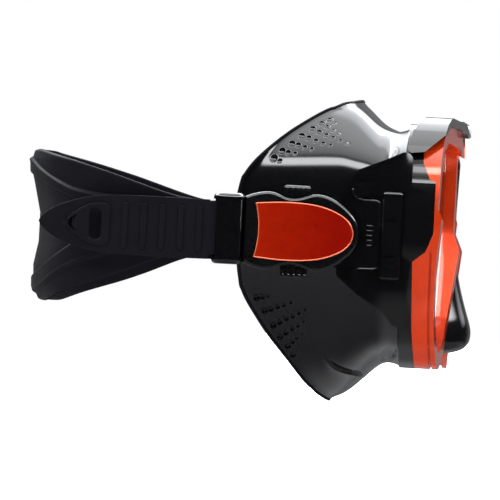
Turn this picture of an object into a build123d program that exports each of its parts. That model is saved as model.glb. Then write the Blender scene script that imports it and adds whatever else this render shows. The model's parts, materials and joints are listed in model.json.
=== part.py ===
"""Diving mask with two lenses, side buckles and a strap.

Row frame, in mm: X forward through the lenses, Y towards the wearer's left, Z up.
The origin is the middle of the face opening, on the plane of symmetry.
The wearer's right side (-Y) is modelled and mirrored to the left.
"""
from build123d import *
from math import cos, radians, sin
import os

os.makedirs("parts", exist_ok=True)

# ---- lenses ---------------------------------------------------------------
EYE_WRAP = 2.0             # each lens is turned this many degrees outwards
LENS_X = 49.8              # front face of the lens, at the lens's own middle
LENS_Y = 40.0              # lens middle to the plane of symmetry
LENS_T = 4.0
# lens outline: (towards the nose, up) from the lens's middle, and corner radii
EYE_CORNERS = [(32, 35), (-26, 38), (-34, 6), (-28, -32), (-7, -47), (16, -38), (31, 4)]
EYE_RADII = [10, 20, 60, 24, 15, 18, 34]
LENS_PLAY = 0.15           # gap between lens edge and frame
BEZEL_LIP = 1.5            # bezel covers this much of the lens
RING_GROW = 5.0            # frame ring and bezel outside the lens outline
TUBE_GROW = 2.0            # frame tube that carries the bezel
BROW_GROW = 8.0            # brow outside the lens outline
FIT = 0.1                  # gap between clipped parts

# ---- frame ----------------------------------------------------------------
FRAME_REAR = 38.5          # rear face of the lens rings
CHEEK_IN, CHEEK_OUT = 73.3, 76.0     # side lug, distance from the middle
PIVOT_X, PIVOT_Z = 12.0, -0.8        # buckle tilt axis

# ---- skirt ----------------------------------------------------------------
SKIRT_T = 2.2
SKIRT_FRONT = 38.3
EYE_SLEEVE_T = 3.0

# ---- buckle, distances measured outwards from the plane of symmetry -------
SCALE_OUT = 77.6           # outer face of the scale plate
MARK_PITCH, MARK_COUNT = 1.85, 5
CARRIER_IN, CARRIER_OUT, CARRIER_R = 77.9, 80.4, 7.5
TILT_PIN_R, TILT_HEAD_R = 2.5, 4.2
SWIVEL_Y, SWIVEL_R = 83.4, 1.2
RUN_GAP = 0.06             # radial clearance of a running pin
BODY_IN, BODY_OUT = 79.2, 86.8
COVER_SEAT, COVER_OUT = 86.0, 88.2
POCKET_ROOF = 84.8
BUTTON_X, BUTTON_W = -1.5, 10.0
BUTTON_IN, BUTTON_OUT = 80.9, 84.4
SPRING_R, SPRING_WIRE, SPRING_Y = 1.35, 0.35, 82.65
PAWL_X, PAWL_Y, PAWL_R = -11.0, 83.1, 0.9

# ---- strap ----------------------------------------------------------------
ROLLER_X, ROLLER_Y, ROLLER_R = -26.0, 83.2, 2.2
STRAP_T = 1.8
WRAP_R = ROLLER_R + 0.35 + STRAP_T / 2      # middle of the strap round the roller
STRAP_HALF = 10.2
PAD_T = 1.6
BAND_T = 2.8
REAR_X = -104.0
RIB_PITCH, RIB_COUNT, RIB_W = 7.0, 5, 2.4


def side(distance):
    """Plane facing outwards on the wearer's right; local x forward, local y up."""
    return Plane.XZ.offset(distance)


wrap = radians(EYE_WRAP)
EYE = Plane(origin=(LENS_X, -LENS_Y, 0), x_dir=(sin(wrap), cos(wrap), 0),
            z_dir=(cos(wrap), -sin(wrap), 0))


def eye_face(grow, start):
    """Lens outline grown by `grow`, lying `start` in front of the lens's front face."""
    with BuildSketch(EYE.offset(start)) as outline:
        with BuildLine():
            FilletPolyline(*EYE_CORNERS, radius=EYE_RADII, close=True)
        make_face()
        if grow:
            offset(amount=grow)
    return outline.sketch


def save(part, name):
    part.label = name
    export_step(part, f"parts/{name}.step")


def save_pair(right, name):
    """Write the right-hand piece and its mirror image."""
    save(right, f"{name}_right")
    save(mirror(right, about=Plane.XZ), f"{name}_left")


# ---- lens -----------------------------------------------------------------
lens_outline = eye_face(0, 0)
with BuildPart() as lens_right:
    extrude(lens_outline, amount=-LENS_T)
save_pair(lens_right.part, "lens")

# ---- bezel ----------------------------------------------------------------
# side view of everything behind the bezel's band: the band is deep at the brow and
# the cheek and only a thin rim where the buckle lug meets the lens
BAND_EDGE = [(20, 62), (44.8, 62), (44.8, 28), (47.6, 21.6), (50.0, 20.6), (50.2, 1.0),
             (47.4, -5.8), (42.6, -9.8), (43.4, -36), (45.4, -62), (20, -62)]
with BuildSketch(Plane.XZ) as behind_band:
    with BuildLine():
        Polyline(*BAND_EDGE, close=True)
    make_face()

# three front planes, each through a point at the temple: rise towards the nose and up
TEMPLE_Y = -74.0


def front_plane(x, z, towards_nose, upwards):
    return Plane(origin=(x, TEMPLE_Y, z), z_dir=(1, -towards_nose, -upwards))


upper_front = front_plane(51.5, 0, 0.056, 0)
cheek_front = front_plane(52.3, -4.6, 0.0884, 0.0829)
brow_front = front_plane(51.5, 0, 0.085, 0)

with BuildPart() as cheek_rise:
    with BuildSketch(Plane.XZ):
        with BuildLine():
            Polyline((38, 41.5), (80, -56), (80, -90), (38, -90), close=True)
        make_face()
    extrude(amount=120)
    with BuildSketch(cheek_front):
        Rectangle(400, 400)
    extrude(amount=80, mode=Mode.SUBTRACT)

with BuildPart() as brow_rise:
    with BuildSketch(Plane.XZ):
        with BuildLine():
            Polyline((38, 34), (53, 33), (62, 28), (62, 62), (38, 62), close=True)
        make_face()
    extrude(amount=120)
    with BuildSketch(brow_front):
        Rectangle(400, 400)
    extrude(amount=80, mode=Mode.SUBTRACT)

with BuildPart() as front_cutter:
    with BuildSketch(upper_front):
        Rectangle(400, 400)
    extrude(amount=60)
    add(cheek_rise.part, mode=Mode.SUBTRACT)
    add(brow_rise.part, mode=Mode.SUBTRACT)

bezel_outer = eye_face(RING_GROW, -13)
bezel_inner = eye_face(TUBE_GROW + FIT, -14)
bezel_opening = eye_face(-BEZEL_LIP, -14)
groove_outer, groove_inner = eye_face(RING_GROW + 2, 0.5), eye_face(RING_GROW - 0.9, 0.5)

with BuildPart() as cheek_groove:
    extrude(groove_outer, amount=0.9)
    extrude(groove_inner, amount=0.9, mode=Mode.SUBTRACT)
    with Locations((LENS_X, -LENS_Y, 47)):
        Box(60, 120, 106, mode=Mode.SUBTRACT)

with BuildPart() as bezel_right:
    extrude(bezel_outer, amount=26)
    extrude(behind_band.sketch, amount=120, mode=Mode.SUBTRACT)
    extrude(bezel_inner, amount=14, mode=Mode.SUBTRACT)
    extrude(bezel_opening, amount=40, mode=Mode.SUBTRACT)
    add(front_cutter.part, mode=Mode.SUBTRACT)
    add(cheek_groove.part, mode=Mode.SUBTRACT)
save_pair(bezel_right.part, "bezel")

# ---- frame ----------------------------------------------------------------
ring_outer = eye_face(RING_GROW, -13)
tube_outer = eye_face(TUBE_GROW, -13)
lens_bore = eye_face(LENS_PLAY, -16)
brow_outer = eye_face(BROW_GROW, -12)
brow_inner = eye_face(RING_GROW + FIT, -13)

BROW_SIDE = [(38.5, 31), (40.1, 39.8), (44.7, 46), (51.5, 47), (57.5, 44.5), (60, 40.5),
             (59, 38.2), (52.6, 38.6), (45.2, 31.8)]
with BuildPart() as brow:
    extrude(brow_outer, amount=24)
    extrude(brow_inner, amount=30, mode=Mode.SUBTRACT)
    with BuildSketch(Plane.XZ):
        with BuildLine():
            FilletPolyline(*BROW_SIDE, radius=1.5, close=True)
        make_face()
    extrude(amount=120, mode=Mode.INTERSECT)
    with BuildSketch(Plane(origin=(52.4, -70, 0), z_dir=(1, -0.11, 0))):
        Rectangle(200, 200)
    extrude(amount=40, mode=Mode.SUBTRACT)

CHEEK_SIDE = [(41, 33), (30.5, 28), (20.2, 23.7), (16.1, 15.9), (14, -16.2), (22.7, -23.3),
              (31.6, -28.5), (41, -40)]
with BuildSketch(Plane.XZ) as in_front_of_band:
    with BuildLine():
        Polyline(*[(x - FIT, z) for x, z in BAND_EDGE[1:-1]], (90, -62), (90, 62), close=True)
    make_face()

with BuildPart() as frame_right:
    extrude(ring_outer, amount=16)
    with Locations((44, -6, 21.5)):
        Box(12, 12, 38)
    extrude(in_front_of_band.sketch, amount=120, mode=Mode.SUBTRACT)
    extrude(tube_outer, amount=13)
    add(brow.part)
    extrude(lens_bore, amount=40, mode=Mode.SUBTRACT)
    with Locations((FRAME_REAR - 20, -40, 0)):
        Box(40, 100, 140, mode=Mode.SUBTRACT)
    with BuildSketch(side(CHEEK_IN)):
        with BuildLine():
            FilletPolyline(*CHEEK_SIDE, radius=3, close=True)
        make_face()
        with Locations((PIVOT_X, PIVOT_Z)):
            Circle(11)
    extrude(amount=CHEEK_OUT - CHEEK_IN)
    with BuildSketch(side(CHEEK_OUT)):
        with Locations((22.8, -18)):
            RectangleRounded(6.4, 6.8, 1.5)
        with Locations((22.8, 16.4)):
            RectangleRounded(6.4, 5.4, 1.5)
    extrude(amount=2.6)
    with Locations(side(CHEEK_IN - 1) * Pos(PIVOT_X, PIVOT_Z, 0)):
        Cylinder(TILT_PIN_R, 8, align=(Align.CENTER, Align.CENTER, Align.MIN),
                 mode=Mode.SUBTRACT)

with BuildPart() as frame:
    add(frame_right.part)
    mirror(frame_right.part, about=Plane.XZ)
save(frame.part, "frame")

with BuildPart() as bridge_cover:
    with BuildSketch(Plane.XZ):
        with BuildLine():
            FilletPolyline((50.6, 6), (50.6, 20.6), (48.4, 22), (45.4, 28.6), (45.4, 30.6),
                           (55.5, 30.6), (56, 28), (55.5, 10), radius=0.6, close=True)
        make_face()
    extrude(amount=3.0, both=True)
    fillet(bridge_cover.edges().filter_by(Axis.Y, reverse=True).group_by(Axis.Y)[0], 0.6)
    fillet(bridge_cover.edges().filter_by(Axis.Y, reverse=True).group_by(Axis.Y)[-1], 0.6)
save(bridge_cover.part, "bridge_cover")

# ---- skirt ----------------------------------------------------------------
# cross-sections of the shell: x, then half of the outline as (half width, height)
SECTIONS = [
    (SKIRT_FRONT, [(22, 44.5), (64, 43.5), (73, 16), (70.5, -31), (49, -50.5)]),
    (22.0, [(22, 51.0), (56, 43.0), (70, 13), (64, -31), (31, -59.5)]),
    (2.0, [(20, 53.0), (52, 42.5), (67, 12), (58, -33), (21, -65.0)]),
    (-27.0, [(18, 54.0), (47, 42.0), (62, 10), (52, -34), (17, -68.0)]),
]
SECTION_RADII = [12, 13, 20, 20, 13]


def shell(shrink, front_x):
    """Solid inside the skirt's outer surface, shrunk by the wall where asked."""
    with BuildPart() as body:
        for x, half in SECTIONS:
            x = min(x, front_x)
            outline = half + [(-y, z) for y, z in reversed(half)]
            with BuildSketch(Plane.YZ.offset(x)):
                with BuildLine():
                    FilletPolyline(*outline, radius=SECTION_RADII + SECTION_RADII[::-1], close=True)
                make_face()
                if shrink:
                    offset(amount=-shrink)
        loft()
    return body.part


shell_outer = shell(0, SKIRT_FRONT)
shell_inner = shell(SKIRT_T, SKIRT_FRONT - SKIRT_T)

# side view of the face edge: forehead, temple, cheek, upper lip
FACE_EDGE = [(23.5, 56), (22.0, 50), (10.5, 46), (-3.5, 37), (-17, 25), (-23.6, 15), (-24.6, 5),
             (-23.6, -9), (-20.6, -24), (-13, -38), (-4.5, -51), (4, -60), (11, -69)]

NOSE_SIDE = [(34, 0.4), (50, 0.0), (56.2, -4.4), (56.8, -12.7), (58.6, -21), (61.8, -33), (60.5, -40),
             (52, -44.5), (34, -45.5)]
NOSE_FRONT = [(-2.6, 3), (2.6, 3), (18.2, -41.5), (19.0, -50), (-19.0, -50), (-18.2, -41.5)]
NOSE_ROUND = 1.5
NOSE_INSIDE = [(28, -2.0), (49.3, -2.3), (53.8, -5.8), (54.5, -12.7), (56.3, -21), (59.4, -32.6),
               (58.2, -38.6), (51.5, -42.2), (28, -43.2)]


def nose_solid(side_view, shrink):
    """Nose pocket: its side view and its front view, crossed."""
    with BuildPart() as pocket:
        with BuildSketch(Plane.XZ):
            with BuildLine():
                edge = Spline(*side_view)
                Line(edge @ 1, edge @ 0)
            make_face()
        extrude(amount=30, both=True)
        with BuildSketch(Plane.YZ.offset(26)):
            with BuildLine():
                Polyline(*NOSE_FRONT, close=True)
            make_face()
            if shrink:
                offset(amount=-shrink)
        extrude(amount=40, mode=Mode.INTERSECT)
    return pocket


nose_outer, nose_inner = nose_solid(NOSE_SIDE, 0), nose_solid(NOSE_INSIDE, SKIRT_T)
with BuildPart() as nose_rounded:
    add(nose_outer.part)
    fillet(nose_rounded.edges().filter_by(
        lambda e: e.length > 8 and e.center().X > 36 and e.geom_type != GeomType.LINE), NOSE_ROUND)

sleeve_outer = eye_face(0, -LENS_T)
sleeve_inner = eye_face(-EYE_SLEEVE_T, -LENS_T + 1)
with BuildPart() as eye_holes:
    extrude(sleeve_inner, amount=-14)
    mirror(about=Plane.XZ)
with BuildPart() as face_profile:
    with BuildSketch(Plane.XZ):
        with BuildLine():
            edge = Spline(*FACE_EDGE)
            Polyline(edge @ 1, (70, -69), (70, 56), edge @ 0)
        make_face()
    extrude(amount=120, both=True)

with BuildPart() as skirt:
    extrude(sleeve_outer, amount=-12)
    mirror(about=Plane.XZ)
    with Locations((SKIRT_FRONT - 20.1, 0, 0)):
        Box(40, 200, 160, mode=Mode.SUBTRACT)
    add(nose_rounded.part)
    add(shell_outer)
    add(shell_inner, mode=Mode.SUBTRACT)
    add(nose_inner.part, mode=Mode.SUBTRACT)
    add(eye_holes.part, mode=Mode.SUBTRACT)
    add(face_profile.part, mode=Mode.INTERSECT)
save(skirt.part, "skirt")

# ---- lug plates -----------------------------------------------------------
with BuildPart() as scale_plate_right:
    with BuildSketch(side(CHEEK_OUT)):
        with Locations(((PIVOT_X + 30) / 2, -0.45)):
            Rectangle(30 - PIVOT_X, 25.9)
        with Locations((PIVOT_X, PIVOT_Z)):
            Circle(10.5)
        with Locations((PIVOT_X, PIVOT_Z)):
            Circle(TILT_PIN_R, mode=Mode.SUBTRACT)
        with Locations((22.8, 14.5), (22.8, -15.4)):
            Rectangle(6.8, 4.0, mode=Mode.SUBTRACT)
    extrude(amount=SCALE_OUT - CHEEK_OUT)
    with BuildSketch(side(SCALE_OUT)):
        with Locations(*[(26.1, PIVOT_Z + (i - 2) * MARK_PITCH) for i in range(MARK_COUNT)]):
            RectangleRounded(3.0, 0.7, 0.3)
        with Locations((PIVOT_X, PIVOT_Z)):
            SlotArc(CenterArc((0, 0), 11.7, -48, 96), 1.1)
    extrude(amount=0.35)
    with BuildSketch(side(SCALE_OUT - 0.7)):
        with Locations((PIVOT_X, PIVOT_Z)):
            SlotArc(CenterArc((0, 0), 5.3, 155, 50), 2.8)
    extrude(amount=2, mode=Mode.SUBTRACT)
save_pair(scale_plate_right.part, "scale_plate")

with BuildPart() as lug_clip_right:
    with BuildSketch(side(CHEEK_OUT)):
        with Locations((34.3, -0.5)):
            RectangleRounded(7.6, 33, 1.2)
    extrude(amount=3.2)
    fillet(lug_clip_right.faces().sort_by(Axis.Y)[0].edges(), 0.9)
    with BuildSketch(side(CHEEK_OUT + 1.6)):
        with Locations((34.0, 5.2), (34.0, -8.4)):
            RectangleRounded(3.6, 1.3, 0.5)
    extrude(amount=4, mode=Mode.SUBTRACT)
save_pair(lug_clip_right.part, "lug_clip")

with BuildPart() as tilt_pin_right:
    with Locations(side(CHEEK_IN - 0.3) * Pos(PIVOT_X, PIVOT_Z, 0)):
        Cylinder(TILT_PIN_R, CARRIER_OUT + 0.3 - CHEEK_IN + 0.3,
                 align=(Align.CENTER, Align.CENTER, Align.MIN))
    with Locations(side(CARRIER_OUT + 0.3) * Pos(PIVOT_X, PIVOT_Z, 0)):
        Cylinder(TILT_HEAD_R, 1.2, align=(Align.CENTER, Align.CENTER, Align.MIN))
    chamfer(tilt_pin_right.faces().sort_by(Axis.Y)[0].edges(), 0.3)
save_pair(tilt_pin_right.part, "tilt_pin")

# ---- carrier: turns on the tilt pin and carries the swivel pin ------------
LUG_IN, LUG_OUT = 4.7, 7.0           # swivel lugs, above and below the tilt axis
with BuildPart() as carrier_right:
    with BuildSketch(side(CARRIER_IN)):
        with Locations((PIVOT_X, PIVOT_Z)):
            Circle(CARRIER_R)
            Circle(TILT_PIN_R + RUN_GAP, mode=Mode.SUBTRACT)
        with Locations((PIVOT_X - 5.3, PIVOT_Z)):
            Circle(1.1, mode=Mode.SUBTRACT)
    extrude(amount=CARRIER_OUT - CARRIER_IN)
    for z0 in (PIVOT_Z - LUG_OUT, PIVOT_Z + LUG_IN):
        with BuildSketch(Plane.XY.offset(z0)):
            with Locations((PIVOT_X, -(CARRIER_OUT - 0.5 + SWIVEL_Y) / 2)):
                Rectangle(4.4, SWIVEL_Y - CARRIER_OUT + 0.5)
            with Locations((PIVOT_X, -SWIVEL_Y)):
                Circle(2.2)
                Circle(SWIVEL_R, mode=Mode.SUBTRACT)
        extrude(amount=LUG_OUT - LUG_IN)
save_pair(carrier_right.part, "carrier")

with BuildPart() as detent_right:
    with Locations(side(SCALE_OUT - 0.4) * Pos(PIVOT_X - 5.3, PIVOT_Z, 0)):
        Cylinder(1.1, CARRIER_OUT - SCALE_OUT + 0.4, align=(Align.CENTER, Align.CENTER, Align.MIN))
    fillet(detent_right.faces().sort_by(Axis.Y)[-1].edges(), 0.7)
save_pair(detent_right.part, "detent")

with BuildPart() as swivel_pin_right:
    with Locations((PIVOT_X, -SWIVEL_Y, PIVOT_Z)):
        Cylinder(SWIVEL_R, 22.0)
save_pair(swivel_pin_right.part, "swivel_pin")

# ---- buckle body ----------------------------------------------------------
BODY_TOP = [(-20.8, 12.4), (-15.5, 14.2), (-10, 14.4), (-5.5, 12.8), (-0.5, 12.7), (5.5, 14.4),
            (12.5, 12.8), (18.4, 8.6), (21.6, 4.2), (22.4, 0)]
COVER_TOP = [(-16.8, 10.3), (-8, 11.0), (0.0, 11.0), (9, 9.8), (14.8, 7.6), (18.9, 4.5), (20.6, 0)]


def body_outline(points):
    """Closed outline with straight or dished rear end, from the upper half's points."""
    top = [(x, PIVOT_Z + h) for x, h in points]
    low = [(x, PIVOT_Z - h) for x, h in reversed(points)]
    return top + low[1:]


with BuildSketch(side(BODY_IN)) as body_face:
    with BuildLine():
        rim = Spline(*body_outline(BODY_TOP))
        Line(rim @ 1, rim @ 0)
    make_face()


def cover_outline(gap):
    """Outline of the orange plate, widened all round by a small gap."""
    last = len(COVER_TOP) - 1
    points = [(x + gap * ((i == last) - (i == 0)), h + gap * (i < last))
              for i, (x, h) in enumerate(COVER_TOP)]
    with BuildSketch(side(COVER_SEAT)) as face:
        with BuildLine():
            rim = Spline(*body_outline(points))
            ThreePointArc(rim @ 1, (-15.4 - gap, PIVOT_Z), rim @ 0)
        make_face()
    return face.sketch


cover_face, cover_seat = cover_outline(0), cover_outline(0.2)

BUTTON_STEP = 11.0         # retaining flange, above and below the middle
with BuildPart() as housing_right:
    extrude(body_face.sketch, amount=BODY_OUT - BODY_IN)
    fillet(housing_right.faces().sort_by(Axis.Y)[0].edges(), 1.1)
    extrude(cover_seat, amount=4, mode=Mode.SUBTRACT)
    with BuildSketch(side(BODY_IN)):                      # room for the carrier
        with Locations((13.0, PIVOT_Z)):
            RectangleRounded(13.4, 15.6, 3.0)
    extrude(amount=COVER_SEAT - BODY_IN, mode=Mode.SUBTRACT)
    with BuildSketch(side(BODY_IN)):                      # the carrier's disc sits in this
        with Locations((PIVOT_X, PIVOT_Z)):
            Circle(CARRIER_R + 0.7)
    extrude(amount=CARRIER_OUT + 0.9 - BODY_IN, mode=Mode.SUBTRACT)
    with BuildSketch(side(BODY_IN)):                      # room for buttons and pawl
        with Locations((-8.4, PIVOT_Z)):
            Rectangle(24.8, 22.6)
    extrude(amount=POCKET_ROOF - BODY_IN, mode=Mode.SUBTRACT)
    with BuildSketch(side(BODY_IN)):                      # front stop of the pocket is solid
        with Locations((BUTTON_X, PIVOT_Z)):
            Rectangle(9.0, 1.9)
    extrude(amount=POCKET_ROOF - BODY_IN)
    with BuildSketch(side(BUTTON_IN - 0.3)):              # button slots, through both edges
        with Locations((BUTTON_X, PIVOT_Z + 14), (BUTTON_X, PIVOT_Z - 14)):
            Rectangle(BUTTON_W + 0.6, 8)
    extrude(amount=BUTTON_OUT - BUTTON_IN + 0.6, mode=Mode.SUBTRACT)
    with Locations((PAWL_X, -PAWL_Y, PIVOT_Z)):
        Cylinder(PAWL_R + RUN_GAP, 26.6, mode=Mode.SUBTRACT)
    with Locations((PIVOT_X, -SWIVEL_Y, PIVOT_Z)):
        Cylinder(SWIVEL_R + RUN_GAP, 22.6, mode=Mode.SUBTRACT)
save_pair(housing_right.part, "housing")

with BuildPart() as cover_right:
    extrude(cover_face, amount=COVER_OUT - COVER_SEAT)
    with Locations((-13.0, -(COVER_OUT + 29.0), PIVOT_Z)):
        Cylinder(30.0, 30.0, mode=Mode.SUBTRACT)
    fillet(cover_right.edges().filter_by(lambda e: e.bounding_box().min.Y < -COVER_OUT + 1.2
                                         and e.bounding_box().max.Y < -COVER_SEAT - 0.2), 0.4)
save_pair(cover_right.part, "cover")

with BuildPart() as inner_plate_right:
    with BuildSketch(side(BODY_IN)):
        with Locations((-8.4, PIVOT_Z)):
            Rectangle(24.0, 22.5)
        with Locations((BUTTON_X, PIVOT_Z)):
            Rectangle(9.1, 2.0, mode=Mode.SUBTRACT)
    extrude(amount=1.1)
save_pair(inner_plate_right.part, "inner_plate")

GUIDE_IN, GUIDE_OUT, GUIDE_WALL = 77.9, 88.6, 1.3
GUIDE_HALF, GUIDE_SIDE = 10.9, 2.5
with BuildPart() as guide_right:
    with BuildSketch(Plane.XY.offset(PIVOT_Z - GUIDE_HALF - GUIDE_SIDE)):
        with Locations((-26.75, -(GUIDE_IN + GUIDE_OUT) / 2)):
            RectangleRounded(11.9, GUIDE_OUT - GUIDE_IN + 2 * GUIDE_WALL, 2.6)
    extrude(amount=2 * (GUIDE_HALF + GUIDE_SIDE))
    with BuildSketch(Plane.XY.offset(PIVOT_Z - GUIDE_HALF)):
        with Locations((-26.65, -(GUIDE_IN + GUIDE_OUT) / 2)):
            Rectangle(20, GUIDE_OUT - GUIDE_IN)
    extrude(amount=2 * GUIDE_HALF, mode=Mode.SUBTRACT)
    with Locations((ROLLER_X, -ROLLER_Y, PIVOT_Z)):
        Cylinder(1.0, 24.8, mode=Mode.SUBTRACT)
save_pair(guide_right.part, "guide")

with BuildPart() as axle_right:
    with Locations((ROLLER_X, -ROLLER_Y, PIVOT_Z)):
        Cylinder(1.0, 24.8)
save_pair(axle_right.part, "axle")

with BuildPart() as roller_right:
    with Locations((ROLLER_X, -ROLLER_Y, PIVOT_Z)):
        Cylinder(ROLLER_R, 2 * GUIDE_HALF - 0.6)
        Cylinder(1.0 + RUN_GAP, 2 * GUIDE_HALF, mode=Mode.SUBTRACT)
save_pair(roller_right.part, "roller")

# ---- squeeze buttons, springs and pawl ------------------------------------
with BuildPart() as button_upper_right:
    with BuildSketch(side(BUTTON_IN)):
        with Locations((BUTTON_X, PIVOT_Z + 11.2)):
            Rectangle(BUTTON_W, 12.4)
        with Locations((BUTTON_X - 2.45, PIVOT_Z + 8.0)):
            Rectangle(BUTTON_W + 0.3, 6.0)
    extrude(amount=BUTTON_OUT - BUTTON_IN)
    fillet(button_upper_right.faces().sort_by(Axis.Z)[-1].edges(), 1.0)
    with BuildSketch(side(BUTTON_OUT)):
        with GridLocations(2.2, 1.5, 4, 2):
            with Locations((BUTTON_X + 0.0, PIVOT_Z + 14.9)):
                Circle(0.42)
    extrude(amount=0.3)
save_pair(button_upper_right.part, "button_upper")

with BuildPart() as button_lower_right:
    mirror(button_upper_right.part, about=Plane.XY.offset(PIVOT_Z))
save_pair(button_lower_right.part, "button_lower")

SPRING_LEN = 3.95
with BuildPart() as spring_upper_right:
    with BuildLine(Plane(origin=(BUTTON_X, -SPRING_Y, PIVOT_Z + 1.0 + SPRING_WIRE),
                         z_dir=(0, 0, 1))):
        coil = Helix(pitch=(SPRING_LEN - 2 * SPRING_WIRE) / 3, height=SPRING_LEN - 2 * SPRING_WIRE,
                     radius=SPRING_R)
    with BuildSketch(Plane(origin=coil @ 0, z_dir=coil % 0)):
        Circle(SPRING_WIRE)
    sweep(path=coil)
save_pair(spring_upper_right.part, "spring_upper")

with BuildPart() as spring_lower_right:
    mirror(spring_upper_right.part, about=Plane.XY.offset(PIVOT_Z))
save_pair(spring_lower_right.part, "spring_lower")

with BuildPart() as pawl_right:
    with BuildSketch(Plane.XY.offset(PIVOT_Z - 7.5)):
        with BuildLine():
            Polyline((PAWL_X + 1.2, -PAWL_Y + 1.1), (-20.2, -PAWL_Y + 1.1), (-21.2, -PAWL_Y + 0.6),
                     (-21.2, -PAWL_Y), (-20.2, -PAWL_Y - 1.1), (PAWL_X + 1.2, -PAWL_Y - 1.1),
                     close=True)
        make_face()
    extrude(amount=15)
    with Locations((PAWL_X, -PAWL_Y, PIVOT_Z)):
        Cylinder(PAWL_R, 26.0)
save_pair(pawl_right.part, "pawl")

# ---- strap ----------------------------------------------------------------
inner_y, outer_y = -(ROLLER_Y - WRAP_R), -(ROLLER_Y + WRAP_R)
PAD_PLAN = [(-62, inner_y), (-84, -70.5), (-98, -42), (REAR_X, 0)]
FREE_PLAN = [(-62, outer_y), (-80, -85.0), (-99, -79.2)]
TONGUE_Z = -1.5
TONGUE = [(-62, 8.2), (-75, 8.6), (-86, 6.9), (-94, 3.4), (-98.2, TONGUE_Z)]
PAD_TOP = [(-34, 9.2), (-38.6, 10.4), (-51, 13.8), (-70, 19), (-90, 24), (-104, 27)]
PAD_LOW = [(-104, -32.5), (-93, -31.6), (-80, -27.2), (-68, -22.8), (-56, -18), (-44, -12.5),
           (-34, -11.0)]


def half_loop(thickness):
    """Plan of the right half of the head loop, from the guide to the rear centre."""
    with BuildLine() as middle:
        Line((ROLLER_X, inner_y), PAD_PLAN[0])
        Spline(*PAD_PLAN, tangents=[(-1, 0), (0, 1)])
    with BuildSketch() as strip:
        trace(middle.line, line_width=thickness)
    return strip.sketch


pad_plan, band_plan = half_loop(PAD_T), half_loop(BAND_T)

with BuildPart() as pad:
    extrude(pad_plan, amount=60, both=True)
    with BuildSketch(Plane.XZ):
        with BuildLine():
            Polyline(*PAD_TOP, (-120, 27), (-120, -32.5), *PAD_LOW, close=True)
        make_face()
    extrude(amount=120, mode=Mode.INTERSECT)

BAND_TOP = [(-33, 8.4), (-66, 8.4), (-80, 9.8), (-90, 14), (-97, 20), (-103, 24.5)]
BAND_LOW = [(-33, -11.0), (-66, -11.4), (-80, -15), (-90, -21), (-97, -26), (-103, -29)]
SPLIT_TOP = [(-82, 2), (-92, 9), (-99, 15), (-103, 18)]
SPLIT_LOW = [(-82, -6), (-92, -14), (-99, -20), (-103, -23)]
with BuildPart() as band:
    extrude(band_plan, amount=60, both=True)
    with BuildSketch(Plane.XZ):
        with BuildLine():
            Polyline(*BAND_TOP, (-120, 24.5), (-120, -29), *BAND_LOW[::-1], close=True)
        make_face()
        with BuildLine():
            Polyline(*SPLIT_TOP, (-121, 18), (-121, -23), *SPLIT_LOW[::-1], close=True)
        make_face(mode=Mode.SUBTRACT)
    extrude(amount=120, mode=Mode.INTERSECT)

free_mid = [(ROLLER_X, outer_y), FREE_PLAN[0]]
with BuildPart() as free_end:
    with BuildLine() as free_line:
        Line(*free_mid)
        Spline(*FREE_PLAN, tangents=[(-1, 0), (-0.9, 0.42)])
    with BuildSketch():
        trace(free_line.line, line_width=STRAP_T)
    extrude(amount=60, both=True)
    with BuildSketch(Plane.XZ.offset(70)):
        with BuildLine():
            tongue = Spline(*TONGUE, *[(x, 2 * TONGUE_Z - z) for x, z in TONGUE[-2::-1]])
            Polyline(tongue @ 1, (-10, 2 * TONGUE_Z - 8.2), (-10, 8.2), tongue @ 0)
        make_face()
    extrude(amount=40, mode=Mode.INTERSECT)

with BuildPart() as pull_ring:
    with BuildSketch():
        trace(free_line.line, line_width=STRAP_T + 1.4)
    extrude(amount=60, both=True)
    with BuildSketch(Plane.XZ.offset(70)):
        with BuildLine():
            FilletPolyline((-69.6, 6.2), (-69.6, -9.6), (-80, -9.6), (-89.4, -1.9), (-80, 6.2),
                           radius=[2.2, 2.2, 8, 3, 8], close=True)
        make_face()
    extrude(amount=40, mode=Mode.INTERSECT)

with BuildPart() as pull_windows:
    with BuildSketch(Plane.XZ.offset(70)):
        with Locations((-75.7, -1.9)):
            RectangleRounded(4.4, 11.4, 1.5)
        with BuildLine():
            FilletPolyline((-80.9, 3.2), (-80.9, -6.9), (-86.9, -1.9), radius=1.4, close=True)
        make_face()
    extrude(amount=40)

with BuildPart() as ribs:
    with BuildSketch(side(-outer_y + STRAP_T / 2 - 0.1)):
        with Locations(*[(-37.6 - i * RIB_PITCH, TONGUE_Z) for i in range(RIB_COUNT)]):
            RectangleRounded(RIB_W, 17.4, 1.1)
    extrude(amount=0.9)

with BuildPart() as strap:
    add(pad.part)
    add(band.part)
    with BuildSketch(Plane.XY.offset(PIVOT_Z - STRAP_HALF)):        # wrap round the roller
        with Locations((ROLLER_X, -ROLLER_Y)):
            Circle(WRAP_R + STRAP_T / 2)
            Circle(WRAP_R - STRAP_T / 2, mode=Mode.SUBTRACT)
            with Locations((-10, 0)):
                Rectangle(20, 20, mode=Mode.SUBTRACT)
        with Locations((ROLLER_X - 4.5, inner_y)):
            Rectangle(9.2, STRAP_T)
    extrude(amount=2 * STRAP_HALF)
    add(free_end.part)
    add(ribs.part)
    add(pull_ring.part)
    add(pull_windows.part, mode=Mode.SUBTRACT)
    mirror(strap.part, about=Plane.XZ)
save(strap.part, "strap")
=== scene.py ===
"""Diving mask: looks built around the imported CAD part. Metres, in the part's own frame:
X forward through the lenses, Y towards the wearer's left, Z up."""
import json
from math import atan2, cos, pi, radians, sin

import bmesh
import bpy
import numpy as np
from mathutils import Matrix, Vector


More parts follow.
